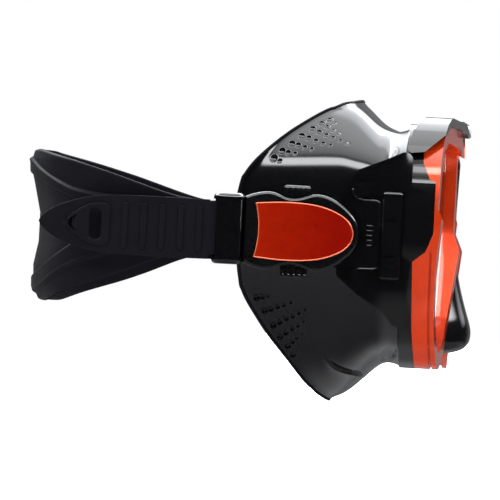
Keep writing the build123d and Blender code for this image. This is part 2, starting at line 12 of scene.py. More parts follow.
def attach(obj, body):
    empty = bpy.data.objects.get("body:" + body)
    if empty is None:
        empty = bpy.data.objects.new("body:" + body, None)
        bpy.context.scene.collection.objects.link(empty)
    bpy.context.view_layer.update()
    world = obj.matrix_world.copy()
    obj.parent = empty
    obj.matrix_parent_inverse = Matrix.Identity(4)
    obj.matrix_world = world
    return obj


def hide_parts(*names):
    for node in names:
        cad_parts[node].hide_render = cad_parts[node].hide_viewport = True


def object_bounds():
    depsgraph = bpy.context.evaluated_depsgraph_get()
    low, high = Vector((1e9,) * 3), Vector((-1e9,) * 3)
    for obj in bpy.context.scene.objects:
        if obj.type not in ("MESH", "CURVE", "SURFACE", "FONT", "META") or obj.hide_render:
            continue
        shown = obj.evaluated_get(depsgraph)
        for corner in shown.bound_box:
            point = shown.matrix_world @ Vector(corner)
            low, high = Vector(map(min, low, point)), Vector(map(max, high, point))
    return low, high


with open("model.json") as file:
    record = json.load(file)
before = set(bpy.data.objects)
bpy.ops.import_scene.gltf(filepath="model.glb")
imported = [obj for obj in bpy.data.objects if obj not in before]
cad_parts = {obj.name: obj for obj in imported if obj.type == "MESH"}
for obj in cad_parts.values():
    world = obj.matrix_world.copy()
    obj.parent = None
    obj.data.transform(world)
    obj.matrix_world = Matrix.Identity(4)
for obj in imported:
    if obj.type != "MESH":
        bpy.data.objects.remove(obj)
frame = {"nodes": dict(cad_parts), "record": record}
CAD_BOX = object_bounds()
MM = 0.001
NODES = frame["nodes"]
SIDES = (("right", -1), ("left", 1))


# ---- curves and meshes ----------------------------------------------------
def smooth(t):
    """0 up to t = 0, 1 from t = 1 on, and a soft step between."""
    t = np.clip(t, 0.0, 1.0)
    return t * t * (3 - 2 * t)


def even(line, count):
    """The same line with its points spread evenly by length."""
    step = np.linalg.norm(np.diff(line, axis=0), axis=1)
    run = np.concatenate([[0], np.cumsum(step)])
    want = np.linspace(0, run[-1], count)
    return np.stack([np.interp(want, run, line[:, k]) for k in range(line.shape[1])], axis=1)


def mesh_object(name, points, faces, material, body):
    """A smooth-shaded piece that rides on a body of the part."""
    mesh = bpy.data.meshes.new(name)
    mesh.from_pydata([tuple(p) for p in points], [], faces)
    mesh.validate()
    mesh.update()
    obj = bpy.data.objects.new(name, mesh)
    bpy.context.scene.collection.objects.link(obj)
    mesh.materials.append(material)
    for polygon in mesh.polygons:
        polygon.use_smooth = True
    tidy = bmesh.new()
    tidy.from_mesh(mesh)
    bmesh.ops.recalc_face_normals(tidy, faces=tidy.faces)
    tidy.to_mesh(mesh)
    tidy.free()
    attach(obj, body)
    return obj


def tube(name, path, radius, material, body, closed=True, sides=10):
    """Round bead along a path given in mm."""
    if closed:
        ahead = np.roll(path, -1, axis=0) - np.roll(path, 1, axis=0)
    else:
        ahead = np.gradient(path, axis=0)
    ahead /= np.linalg.norm(ahead, axis=1, keepdims=True)
    across = np.cross(ahead, np.where(np.abs(ahead[:, 1:2]) > 0.9, (0, 0, 1.0), (0, 1.0, 0)))
    across /= np.linalg.norm(across, axis=1, keepdims=True)
    rise = np.cross(ahead, across)
    turn = np.linspace(0, 2 * pi, sides, endpoint=False)
    loops = (path[:, None] + radius * (across[:, None] * np.cos(turn)[None, :, None]
                                       + rise[:, None] * np.sin(turn)[None, :, None]))
    faces = ring_faces(len(path), sides, wrap_rows=closed)
    if not closed:
        faces += [tuple(range(sides)), tuple((len(path) - 1) * sides + k for k in range(sides))]
    return mesh_object(name, loops.reshape(-1, 3) * MM, faces, material, body)


def ring_faces(rows, columns, wrap_rows=False, wrap_columns=True):
    """Quads joining a grid of points, row by row."""
    faces = []
    for i in range(rows if wrap_rows else rows - 1):
        for j in range(columns if wrap_columns else columns - 1):
            i2, j2 = (i + 1) % rows, (j + 1) % columns
            faces.append((i * columns + j, i * columns + j2, i2 * columns + j2, i2 * columns + j))
    return faces


# ---- materials ------------------------------------------------------------
GRAIN_DEPTH, SWELL_POWER = 0.00005, 1.4


def principled(name):
    """A new material, with its nodes, its links and its shader."""
    mat = bpy.data.materials.new(name)
    mat.use_nodes = True
    nodes = mat.node_tree.nodes
    return mat, nodes, mat.node_tree.links, nodes["Principled BSDF"]


def material(name, colour, roughness, metallic=0.0, coat=0.0, coat_roughness=0.05, ior=1.5,
             grain=0.0, grain_size=0.0004, mottle=0.0, mottle_size=0.01, wave=0.0,
             wave_size=0.012, sheen=0.0, tint=None):
    """Moulded plastic, silicone or metal: colour and roughness vary a little over the surface,
    with a fine grain and a slow unevenness in its shape."""
    mat, nodes, links, shader = principled(name)
    shader.inputs["Metallic"].default_value = metallic
    shader.inputs["IOR"].default_value = ior
    shader.inputs["Coat Weight"].default_value = coat
    shader.inputs["Coat Roughness"].default_value = coat_roughness
    shader.inputs["Sheen Weight"].default_value = sheen
    shader.inputs["Sheen Roughness"].default_value = 0.4
    place = nodes.new("ShaderNodeTexCoord")
    slow = nodes.new("ShaderNodeTexNoise")
    slow.inputs["Scale"].default_value = 1 / mottle_size
    slow.inputs["Detail"].default_value = 4
    links.new(place.outputs["Object"], slow.inputs["Vector"])
    shade = nodes.new("ShaderNodeMix")
    shade.data_type = "RGBA"
    shade.inputs[6].default_value = (*colour, 1)
    shade.inputs[7].default_value = (*(tint or [min(1, c * (1 + mottle)) for c in colour]), 1)
    links.new(slow.outputs["Fac"], shade.inputs["Factor"])
    links.new(shade.outputs[2], shader.inputs["Base Color"])
    rough = nodes.new("ShaderNodeMapRange")
    rough.inputs["To Min"].default_value = roughness * 0.8
    rough.inputs["To Max"].default_value = roughness * 1.2
    links.new(slow.outputs["Fac"], rough.inputs["Value"])
    links.new(rough.outputs["Result"], shader.inputs["Roughness"])
    fine = nodes.new("ShaderNodeTexNoise")
    fine.inputs["Scale"].default_value = 1 / grain_size
    fine.inputs["Detail"].default_value = 3
    links.new(place.outputs["Object"], fine.inputs["Vector"])
    texture = nodes.new("ShaderNodeBump")
    texture.inputs["Strength"].default_value = grain
    texture.inputs["Distance"].default_value = GRAIN_DEPTH
    links.new(fine.outputs["Fac"], texture.inputs["Height"])
    last = texture
    if wave:
        broad = nodes.new("ShaderNodeTexNoise")
        broad.inputs["Scale"].default_value = 1 / wave_size
        broad.inputs["Detail"].default_value = 1
        links.new(place.outputs["Object"], broad.inputs["Vector"])
        last = nodes.new("ShaderNodeBump")
        last.inputs["Strength"].default_value = 1.0
        last.inputs["Distance"].default_value = wave * MM
        links.new(broad.outputs["Fac"], last.inputs["Height"])
        links.new(texture.outputs["Normal"], last.inputs["Normal"])
    links.new(last.outputs["Normal"], shader.inputs["Normal"])
    return mat


def shade_along_x(mat, start, end, colour, tint):
    """The material changes to another pair of colours between two places along X."""
    nodes, links = mat.node_tree.nodes, mat.node_tree.links
    shader = nodes["Principled BSDF"]
    first = shader.inputs["Base Color"].links[0].from_node
    second = nodes.new("ShaderNodeMix")
    second.data_type = "RGBA"
    second.inputs[6].default_value, second.inputs[7].default_value = (*colour, 1), (*tint, 1)
    links.new(first.inputs["Factor"].links[0].from_socket, second.inputs["Factor"])
    place = nodes.new("ShaderNodeTexCoord")
    split = nodes.new("ShaderNodeSeparateXYZ")
    links.new(place.outputs["Object"], split.inputs["Vector"])
    share = nodes.new("ShaderNodeMapRange")
    share.inputs["From Min"].default_value, share.inputs["From Max"].default_value = start, end
    links.new(split.outputs["X"], share.inputs["Value"])
    both = nodes.new("ShaderNodeMix")
    both.data_type = "RGBA"
    links.new(share.outputs["Result"], both.inputs["Factor"])
    links.new(first.outputs[2], both.inputs[6])
    links.new(second.outputs[2], both.inputs[7])
    links.new(both.outputs[2], shader.inputs["Base Color"])


def swell(mat, areas):
    """Tilts the surface gently, as if it curved: areas give, for X and for Z, where the slope
    starts and ends, and the rise between them, in mm."""
    nodes, links = mat.node_tree.nodes, mat.node_tree.links
    shader = nodes["Principled BSDF"]
    place = nodes.new("ShaderNodeTexCoord")
    split = nodes.new("ShaderNodeSeparateXYZ")
    links.new(place.outputs["Object"], split.inputs["Vector"])
    for along_x, along_z, rise in areas:
        shares = []
        for axis, (start, end) in (("X", along_x), ("Z", along_z)):
            share = nodes.new("ShaderNodeMapRange")
            share.interpolation_type = "SMOOTHSTEP" if axis == "X" else "LINEAR"
            share.inputs["From Min"].default_value = start * MM
            share.inputs["From Max"].default_value = end * MM
            links.new(split.outputs[axis], share.inputs["Value"])
            shares.append(share)
        steep = nodes.new("ShaderNodeMath")
        steep.operation = "POWER"
        links.new(shares[1].outputs["Result"], steep.inputs[0])
        steep.inputs[1].default_value = SWELL_POWER
        both = nodes.new("ShaderNodeMath")
        both.operation = "MULTIPLY"
        links.new(steep.outputs["Value"], both.inputs[0])
        links.new(shares[0].outputs["Result"], both.inputs[1])
        lean = nodes.new("ShaderNodeBump")
        lean.inputs["Strength"].default_value = 1.0
        lean.inputs["Distance"].default_value = rise * MM
        links.new(both.outputs["Value"], lean.inputs["Height"])
        links.new(shader.inputs["Normal"].links[0].from_socket, lean.inputs["Normal"])
        links.new(lean.outputs["Normal"], shader.inputs["Normal"])


def glass(name):
    """Clear lens glass with a faint haze."""
    mat, nodes, links, shader = principled(name)
    shader.inputs["Transmission Weight"].default_value = 1.0
    shader.inputs["IOR"].default_value = 1.5
    place = nodes.new("ShaderNodeTexCoord")
    haze = nodes.new("ShaderNodeTexNoise")
    haze.inputs["Scale"].default_value = 60
    links.new(place.outputs["Object"], haze.inputs["Vector"])
    rough = nodes.new("ShaderNodeMapRange")
    rough.inputs["To Min"].default_value = 0.0
    rough.inputs["To Max"].default_value = 0.02
    links.new(haze.outputs["Fac"], rough.inputs["Value"])
    links.new(rough.outputs["Result"], shader.inputs["Roughness"])
    tone = nodes.new("ShaderNodeMix")
    tone.data_type = "RGBA"
    tone.inputs[6].default_value = (0.97, 0.985, 0.98, 1)
    tone.inputs[7].default_value = (0.93, 0.97, 0.96, 1)
    links.new(haze.outputs["Fac"], tone.inputs["Factor"])
    links.new(tone.outputs[2], shader.inputs["Base Color"])
    return mat


SILICONE = material("silicone_gloss", (0.0016, 0.0016, 0.0020), 0.10, coat=0.35, coat_roughness=0.05,
                    grain=0.03, mottle=0.4, mottle_size=0.02, wave=0.03)
GLOSS = material("plastic_gloss", (0.0010, 0.0010, 0.0012), 0.06, coat=0.6, coat_roughness=0.03,
                 grain=0.02, mottle=0.5, mottle_size=0.03)
FRAME = material("frame_gloss", (0.0010, 0.0010, 0.0012), 0.09, coat=0.6, coat_roughness=0.05,
                 grain=0.02, mottle=0.5, mottle_size=0.03)
swell(FRAME, [((22, 34), (-20, -52), -9.0), ((31, 40), (20, 34), -3.4)])
SATIN = material("plastic_satin", (0.0013, 0.0013, 0.0015), 0.16, coat=0.4, coat_roughness=0.08,
                 grain=0.10, mottle=0.5)
RUBBER = material("strap_rubber", (0.0026, 0.0025, 0.0036), 0.42, ior=1.10, grain=0.25, mottle=0.5,
                  wave=0.04, sheen=0.01)
ORANGE = material("orange_metallic", (0.46, 0.026, 0.002), 0.24, metallic=0.6, coat=1.0,
                  coat_roughness=0.03, grain=0.2, grain_size=0.00015, mottle_size=0.006,
                  tint=(0.62, 0.044, 0.004))
PLATE = material("orange_anodised", (0.145, 0.0018, 0.0002), 0.30, metallic=0.5, ior=1.15,
                 coat=0.0, coat_roughness=0.2, grain=0.45, grain_size=0.00012, mottle_size=0.003,
                 tint=(0.20, 0.0032, 0.0003))
# paler orange for the bead round each cover plate: the bead is a real rounded rim, and its paler
# colour is a painted highlight on that rim
PLATE_EDGE_HIGHLIGHT = material("orange_edge_highlight", (0.70, 0.16, 0.08), 0.22, metallic=0.7, coat=0.5,
                      grain=0.1, mottle=0.2)
shade_along_x(PLATE, 0.014, -0.016, (0.20, 0.0050, 0.0003), (0.27, 0.010, 0.0005))
STEEL = material("steel_pin", (0.50, 0.50, 0.51), 0.3, metallic=1.0, grain=0.2, mottle=0.1)
GLASS = glass("lens_clear")
BY_SLOT = {"gloss_black": GLOSS, "satin_black": SATIN, "black_silicone": SILICONE,
           "black_rubber": RUBBER, "orange_metal": ORANGE, "orange_plate": PLATE,
           "lens_glass": GLASS, "steel": STEEL}
for part in frame["record"]["subparts"]:
    shown = NODES[part["node"]]
    shown.data.materials.clear()
    shown.data.materials.append(BY_SLOT[part["material_slot"]])


# ---- moulded parts: the CAD shape with its sharp edges softened -----------
MERGE_WITHIN, FLAT_WITHIN = 0.004 * MM, radians(1.0)
SHARP_ANGLE, EDGE_SEGMENTS, SHADING_WEIGHT = radians(32), 2, 100


def polish(node, width, finish=None):
    """A copy of a CAD node with its edges rounded, shown in its place."""
    source = NODES[node]
    mesh = source.data.copy()
    work = bmesh.new()
    work.from_mesh(mesh)
    bmesh.ops.remove_doubles(work, verts=work.verts, dist=MERGE_WITHIN)
    bmesh.ops.dissolve_limit(work, angle_limit=FLAT_WITHIN, verts=work.verts, edges=work.edges)
    work.to_mesh(mesh)
    work.free()
    for polygon in mesh.polygons:
        polygon.use_smooth = True
    obj = bpy.data.objects.new(f"{node}_moulded", mesh)
    bpy.context.scene.collection.objects.link(obj)
    if finish:
        mesh.materials.clear()
        mesh.materials.append(finish)
    round_off = obj.modifiers.new("edges", "BEVEL")
    round_off.width, round_off.segments = width * MM, EDGE_SEGMENTS
    round_off.limit_method, round_off.angle_limit = "ANGLE", SHARP_ANGLE
    obj.modifiers.new("shading", "WEIGHTED_NORMAL").weight = SHADING_WEIGHT
    body = next(b for b, members in frame["record"]["behaviour"]["bodies"].items()
                if node in members)
    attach(obj, body)
    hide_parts(node)
    return obj


polish("frame", 0.6, finish=FRAME)
polish("bridge_cover", 0.5)
for side_name, _ in SIDES:
    polish(f"scale_plate_{side_name}", 0.3)
    polish(f"lug_clip_{side_name}", 0.3)
    polish(f"cover_{side_name}", 0.3)


# ---- skirt ----------------------------------------------------------------
# cross-sections of the skirt from the frame back to the face: x, then half the outline as
# (half width, height), in mm
FRONT_X = 38.3
SKIRT_SECTIONS = [
    (FRONT_X, [(22, 39.0), (71, 42.0), (75, 14), (72.5, -31), (50, -50.6)]),
    (34.5, [(22, 39.0), (65, 39.6), (71.5, 15), (69, -31), (45, -49.2)]),
    (30.5, [(22, 40.2), (59, 38.6), (70, 14), (66, -31), (39, -49.4)]),
    (26.0, [(22, 42.6), (58, 40.4), (70, 13.5), (65, -31), (35, -52.8)]),
    (21.5, [(22, 46.8), (57, 42.8), (70, 13), (64, -31), (31, -57.2)]),
    (17.0, [(22, 50.4), (56, 44.4), (69.8, 12.6), (62.6, -31.5), (28, -61.0)]),
    (12.0, [(21, 52.4), (54.5, 45.4), (69, 12), (61, -32), (25, -63.4)]),
    (-4.0, [(20, 54.5), (51, 45.0), (66, 11), (56.5, -33), (20, -66)]),
    (-30.0, [(18, 56.0), (47, 44.0), (62, 10), (52, -34), (17, -68)]),
]
# the edge that lies on the face, in side view
FACE_EDGE = [(24, 60), (17.4, 50.0), (10.6, 47.5), (2.0, 42.9), (-6.7, 36.8), (-15.3, 29.2),
             (-22.4, 20.6), (-25.0, 13), (-25.2, 5), (-24.2, -9), (-21.5, -24), (-17, -31.7),
             (-10.8, -40.5), (-3.6, -49.1), (3.4, -57.8), (8.0, -61.9), (12.8, -64.0),
             (18, -65), (24, -66)]
WALL = 2.2
INNER_FRONT_X, WALL_DEPTH_AT_FRONT = 36.1, 3.6
SEAL = 10.5          # width of the seal that turns in along the face edge
# the skirt's front edge: x, then how far inside the outline
FRONT_LIP = [(INNER_FRONT_X, WALL_DEPTH_AT_FRONT), (FRONT_X, WALL_DEPTH_AT_FRONT), (38.4, 3.2),
             (38.4, 1.2), (38.4, 0.3)]
# the seal's section: how far ahead of the face edge, then how far inside the outline
SEAL_SECTION = [(-0.45, 0.25), (-0.7, 0.8), (-0.55, 1.5), (-0.1, 2.6), (0.5, 4.5), (1.0, 6.8),
                (1.3, SEAL - 0.6), (1.5, SEAL - 0.1), (1.75, SEAL + 0.1), (2.05, SEAL - 0.1),
                (2.2, SEAL - 0.6), (2.2, 6.8), (2.0, 4.8), (2.1, 3.4), (2.8, 2.7), (4.2, 2.35)]


def natural(knots, values, at):
    """Smooth curve through values at the knots, evaluated anywhere between them."""
    k, v = np.array(knots, float), np.array(values, float)
    n, h = len(k), np.diff(k)
    system, right = np.eye(n), np.zeros((n,) + v.shape[1:])
    for i in range(1, n - 1):
        system[i, i - 1:i + 2] = h[i - 1], 2 * (h[i - 1] + h[i]), h[i]
        right[i] = 6 * ((v[i + 1] - v[i]) / h[i] - (v[i] - v[i - 1]) / h[i - 1])
    m = np.linalg.solve(system, right.reshape(n, -1)).reshape(right.shape)
    at = np.asarray(at, float)
    i = np.clip(np.searchsorted(k, at) - 1, 0, n - 2)
    shape = at.shape + (1,) * (v.ndim - 1)
    a, b, w = (k[i + 1] - at).reshape(shape), (at - k[i]).reshape(shape), h[i].reshape(shape)
    return ((m[i] * a ** 3 + m[i + 1] * b ** 3) / (6 * w)
            + (v[i] / w - m[i] * w / 6) * a + (v[i + 1] / w - m[i + 1] * w / 6) * b)


def spline(points, count):
    """Evenly spaced points on a smooth curve through the given points."""
    p = np.array(points, float)
    run = np.concatenate([[0], np.cumsum(np.linalg.norm(np.diff(p, axis=0), axis=1))])
    return even(natural(run, p, np.linspace(0, run[-1], 40 * len(p))), count)


def outline_weights(t, count):
    """Weights of the control points of a closed cubic curve, at places t from 0 to 1."""
    place = (np.asarray(t) % 1.0) * count
    i, f = np.floor(place).astype(int), place % 1.0
    blend = [(1 - f) ** 3 / 6, (3 * f ** 3 - 6 * f ** 2 + 4) / 6,
             (-3 * f ** 3 + 3 * f ** 2 + 3 * f + 1) / 6, f ** 3 / 6]
    weights = np.zeros((len(f), count))
    for k in range(4):
        weights[np.arange(len(f)), (i + k - 1) % count] += blend[k]
    return weights


section_x = [-x for x, _ in SKIRT_SECTIONS]
section_polygons = []
for _, half in SKIRT_SECTIONS:
    whole = np.array([(-y, z) for y, z in half][::-1] + [tuple(p) for p in half], float)
    following = np.roll(whole, -1, axis=0)
    cut = np.stack([whole * 2 / 3 + following / 3, whole / 3 + following * 2 / 3], axis=1)
    section_polygons.append(cut.reshape(-1, 2))
section_polygons = np.array(section_polygons)
CORNERS = section_polygons.shape[1]


def skirt_point(x, t):
    """(y, z) of the skirt's outer surface at each pair x, t, in mm."""
    polygons = natural(section_x, section_polygons, -np.asarray(x))
    return np.einsum("ij,ijk->ik", outline_weights(t, CORNERS), polygons)


# places round the skirt: close together where the dimples and folds are
COARSE, PROBE_X = 2000, 2.0
DETAIL_HEIGHTS, DETAIL_OUT = ((20, 47), (-62, -21)), 22
FINE_STEP, WIDE_STEP = 0.38, 1.5
coarse = np.linspace(0, 1, COARSE, endpoint=False)
ring = skirt_point(np.full(COARSE, PROBE_X), coarse)
length = np.linalg.norm(np.roll(ring, -1, axis=0) - ring, axis=1)
detail = np.any([(ring[:, 1] > a) & (ring[:, 1] < b) for a, b in DETAIL_HEIGHTS], axis=0)
detail &= np.abs(ring[:, 0]) > DETAIL_OUT
spacing = np.where(detail, FINE_STEP, WIDE_STEP)
along = np.cumsum(length / spacing)
AROUND = int(along[-1]) // 2 * 2
t_ring = np.interp(np.linspace(0, along[-1], AROUND, endpoint=False), along, coarse)

# where the face edge cuts the skirt's surface, smoothed along the edge
SMOOTHING = 15
edge_line = spline(FACE_EDGE, 400)
edge_order = np.argsort(edge_line[:, 1])
edge_z, edge_x = edge_line[edge_order, 1], edge_line[edge_order, 0]
x_scan = np.linspace(37, -28, 500)
rim_x = np.zeros(AROUND)
scan = np.array([skirt_point(np.full(AROUND, x), t_ring)[:, 1] for x in x_scan])
for j in range(AROUND):
    behind = x_scan < np.interp(scan[:, j], edge_z, edge_x)
    rim_x[j] = x_scan[np.argmax(behind)] if behind.any() else x_scan[-1]
kernel = np.hanning(SMOOTHING)
overlap = SMOOTHING // 2
rim_x = np.convolve(np.concatenate([rim_x[-overlap:], rim_x, rim_x[:overlap]]),
                    kernel / kernel.sum(), "valid")

v_rows = np.concatenate([np.linspace(0, 0.5, 42, endpoint=False), np.linspace(0.5, 1.0, 84)])
outer = np.zeros((len(v_rows), AROUND, 3))
for i, v in enumerate(v_rows):
    x = FRONT_X + (rim_x - FRONT_X) * v
    outer[i, :, 0] = x
    outer[i, :, 1:] = skirt_point(x, t_ring)


def unit(vectors):
    return vectors / np.linalg.norm(vectors, axis=-1, keepdims=True)


def grid_normals(grid):
    """Outward unit normals of a grid whose columns go round the X axis."""
    down = np.gradient(grid, axis=0)
    around = np.roll(grid, -1, axis=1) - np.roll(grid, 1, axis=1)
    n = np.cross(around, down)
    n /= np.linalg.norm(n, axis=2, keepdims=True) + 1e-12
    from_middle = grid[..., 1:] - np.array([0, SKIRT_MIDDLE_Z])
    flip = np.sign((n[..., 1:] * from_middle).sum(axis=2).mean())
    return n * flip


SKIRT_MIDDLE_Z = -5.0
normals = grid_normals(outer)
surface = outer.copy()

# dimples: rows of round recesses near the face edge, (first, last, count), in side view
DIMPLE_ROWS = [((7.5, 42.5), (9.4, 41.2), 2), ((4.7, 41.0), (11.5, 37.0), 4),
               ((1.3, 38.6), (15.0, 33.5), 6), ((-2.5, 35.7), (8.6, 32.5), 5),
               ((-6.2, 32.6), (1.7, 30.7), 4), ((-9.6, 29.4), (-4.6, 28.6), 3),
               ((-12.3, 26.5), (-10.0, 25.6), 2),
               ((-16.5, -26.5), (-12.0, -25.5), 3), ((-13.3, -31.3), (-3.4, -27.5), 5),
               ((-9.9, -36.5), (2.3, -29.8), 6), ((-7.2, -40.7), (1.7, -34.4), 5),
               ((-4.4, -44.2), (1.1, -39.1), 4), ((-2.2, -47.6), (-0.8, -45.8), 2)]
DIMPLE_LARGE, DIMPLE_SMALL, DIMPLE_DEPTH = 1.35, 0.8, 0.9
LOWER_DEEPER, BOWL_POWER = 1.45, 0.7       # dimples below the middle are deeper
SIDE_FROM_Y, HIDDEN = 20, 1e6


def place_on_skirt(x, z, sign):
    """Point of the outer surface seen at (x, z) from the side."""
    off = ((outer[..., 0] - x) ** 2 + (outer[..., 2] - z) ** 2
           + HIDDEN * (outer[..., 1] * sign < SIDE_FROM_Y))
    return outer[np.unravel_index(np.argmin(off), off.shape)]


for first, last, count in DIMPLE_ROWS:
    for k in range(count):
        share = k / (count - 1)
        radius = DIMPLE_LARGE + (DIMPLE_SMALL - DIMPLE_LARGE) * share
        for sign in (-1, 1):
            centre = place_on_skirt(first[0] + (last[0] - first[0]) * share,
                                    first[1] + (last[1] - first[1]) * share, sign)
            gap = np.linalg.norm(outer - centre, axis=2) / radius
            depth = DIMPLE_DEPTH * radius / DIMPLE_LARGE * (1.0 if centre[2] > 0 else LOWER_DEEPER)
            bowl = np.clip(1 - gap ** 2, 0, None) ** BOWL_POWER * depth
            surface -= normals * bowl[..., None]

# crescent fold low on the cheek: raised below its line and sunk above it, each as (height, reach)
FOLD = spline([(8.8, -45.6), (11.5, -49.3), (16.0, -52.0), (23.2, -53.6)], 60)
FOLD_RAISED, FOLD_SUNK = (1.15, 2.4), (-0.55, 1.1)
FOLD_REAR_FADE, FOLD_END_X, FOLD_FRONT_FADE, FOLD_FADED_X = 0.35, 23.3, 0.9, 23.9
SIDE_PART_Y = 14
side_x, side_z = outer[..., 0], outer[..., 2]
side_part = np.abs(outer[..., 1]) > SIDE_PART_Y
reach = np.linalg.norm(outer[:, :, None, ::2] - FOLD[None, None, ::4, :], axis=3).min(axis=2)
share = np.clip((side_x - FOLD[0, 0]) / (FOLD[-1, 0] - FOLD[0, 0]), 0, 1)
ends = (smooth(share / FOLD_REAR_FADE) * (side_x < FOLD_END_X)
        * smooth((FOLD_FADED_X - side_x) / FOLD_FRONT_FADE))
raised, sunk = (height * np.exp(-reach / width) for height, width in (FOLD_RAISED, FOLD_SUNK))
lift = np.where(side_z < np.interp(side_x, FOLD[:, 0], FOLD[:, 1]), raised, sunk)
surface += normals * (lift * ends * side_part)[..., None]

# oval hollow beside the frame: centre, half length and half width, tilt, depth
HOLLOW, HOLLOW_HALF, HOLLOW_TILT = (33.9, -45.6), (4.2, 2.0), radians(-32)
HOLLOW_DEPTH, HOLLOW_POWER = 1.9, 0.6
off_x, off_z = side_x - HOLLOW[0], side_z - HOLLOW[1]
lengthways = (off_x * cos(HOLLOW_TILT) - off_z * sin(HOLLOW_TILT)) / HOLLOW_HALF[0]
crossways = (off_x * sin(HOLLOW_TILT) + off_z * cos(HOLLOW_TILT)) / HOLLOW_HALF[1]
dish = np.clip(1 - lengthways ** 2 - crossways ** 2, 0, 1) ** HOLLOW_POWER * HOLLOW_DEPTH
surface -= normals * (dish * side_part)[..., None]

# bead along the face edge
BEAD_HEIGHT, BEAD_WIDTH = 0.45, 1.6
to_rim = np.linalg.norm(outer - outer[-1:], axis=2)
surface += normals * (BEAD_HEIGHT * np.exp(-(to_rim / BEAD_WIDTH) ** 2))[..., None]

rim, rim_normal = surface[-1], normals[-1]
forward = unit(outer[-8] - outer[-1])
face_plane = surface[0].copy()
in_plane = unit(normals[0] * np.array([0, 1, 1]))


def from_rim(ahead, inwards):
    """The face edge, moved ahead and then in from the surface."""
    return rim + forward * ahead - rim_normal * inwards


def at_front(x, inwards):
    """The front edge, moved in from the surface and placed at x."""
    p = face_plane - in_plane * inwards
    p[:, 0] = x
    return p


loops = [at_front(x, inwards) for x, inwards in FRONT_LIP]
loops.extend(surface)
loops.extend(from_rim(ahead, inwards) for ahead, inwards in SEAL_SECTION)
for v in np.linspace(0.86, 0.0, 26):
    x = INNER_FRONT_X + (rim_x - INNER_FRONT_X) * v
    inner = np.zeros((AROUND, 3))
    inner[:, 0] = x
    inner[:, 1:] = skirt_point(x, t_ring)
    row = int(np.argmin(np.abs(v_rows - v)))
    loops.append(inner - normals[row] * WALL)
skirt_points = np.array(loops).reshape(-1, 3) * MM
skirt = mesh_object("skirt_shell", skirt_points,
                    ring_faces(len(loops), AROUND, wrap_rows=True), SILICONE, "mask")
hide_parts("skirt")
tube("skirt_face_bead", from_rim(0.1, 0.2)[::2], 0.75, RUBBER, "mask")

# lens outline in the lens's own plane, as (towards the nose, up), with its corner radii
EYE_CORNERS = [(32, 35), (-26, 38), (-34, 6), (-28, -32), (-7, -47), (16, -38), (31, 4)]
EYE_RADII = [10, 20, 60, 24, 15, 18, 34]
EYE_ORIGIN, EYE_WRAP = (49.8, 40.0, 0.0), radians(2)


def rounded(corners, radii, steps=14):
    """Closed outline with its corners rounded."""
    points = []
    for i, (corner, radius) in enumerate(zip(corners, radii)):
        c = np.array(corner, float)
        a = np.array(corners[i - 1], float) - c
        b = np.array(corners[(i + 1) % len(corners)], float) - c
        a, b = a / np.linalg.norm(a), b / np.linalg.norm(b)
        half = np.arccos(np.clip(a @ b, -1, 1)) / 2
        centre = c + (a + b) / np.linalg.norm(a + b) * radius / sin(half)
        start, end = c + a * radius / np.tan(half), c + b * radius / np.tan(half)
        first = atan2(*(start - centre)[::-1])
        turn = (atan2(*(end - centre)[::-1]) - first + pi) % (2 * pi) - pi
        points += [centre + radius * np.array([cos(first + turn * k / steps),
                                               sin(first + turn * k / steps)])
                   for k in range(steps + 1)]
    return np.array(points)


def grown(outline, amount):
    """Closed outline moved outwards by amount."""
    ahead = np.roll(outline, -1, axis=0) - np.roll(outline, 1, axis=0)
    ahead /= np.linalg.norm(ahead, axis=1, keepdims=True)
    out = np.stack([ahead[:, 1], -ahead[:, 0]], axis=1)
    area = 0.5 * np.sum(outline[:, 0] * np.roll(outline[:, 1], -1)
                        - outline[:, 1] * np.roll(outline[:, 0], -1))
    return outline + out * amount * np.sign(area)


lens_outline = rounded(EYE_CORNERS, EYE_RADII)
eye = even(np.vstack([lens_outline, lens_outline[:1]]), 161)[:-1]


def eye_points(outline, ahead, sign):
    """Points of an outline in the lens's plane, moved ahead of the lens's front face."""
    x = EYE_ORIGIN[0] + outline[:, 0] * sin(EYE_WRAP) + ahead * cos(EYE_WRAP)
    y = -EYE_ORIGIN[1] + outline[:, 0] * cos(EYE_WRAP) - ahead * sin(EYE_WRAP)
    return np.stack([x, y * -sign, outline[:, 1]], axis=1)


def filled(name, outlines, half, bevel, cuts=()):
    """Flat plate from closed 2-D outlines, holes included, sliced at the given x."""
    curve = bpy.data.curves.new(name, "CURVE")
    curve.dimensions, curve.fill_mode = "2D", "BOTH"
    curve.extrude, curve.bevel_depth, curve.bevel_resolution = half - bevel, bevel, 3
    curve.offset = -bevel
    for outline in outlines:
        path = curve.splines.new("POLY")
        path.points.add(len(outline) - 1)
        path.use_cyclic_u = True
        for point, (a, b) in zip(path.points, outline):
            point.co = (a, b, 0, 1)
    holder = bpy.data.objects.new(name, curve)
    bpy.context.scene.collection.objects.link(holder)
    bpy.context.view_layer.update()
    mesh = bpy.data.meshes.new_from_object(
        holder.evaluated_get(bpy.context.evaluated_depsgraph_get()))
    bpy.data.objects.remove(holder)
    work = bmesh.new()
    work.from_mesh(mesh)
    bmesh.ops.remove_doubles(work, verts=work.verts, dist=1e-4)
    for x in cuts:
        bmesh.ops.bisect_plane(work, geom=work.verts[:] + work.edges[:] + work.faces[:],
                               plane_co=(x, 0, 0), plane_no=(1, 0, 0))
    work.verts.ensure_lookup_table()
    points = [tuple(v.co) for v in work.verts]
    faces = [tuple(v.index for v in f.verts) for f in work.faces]
    work.free()
    bpy.data.meshes.remove(mesh)
    return np.array(points), faces


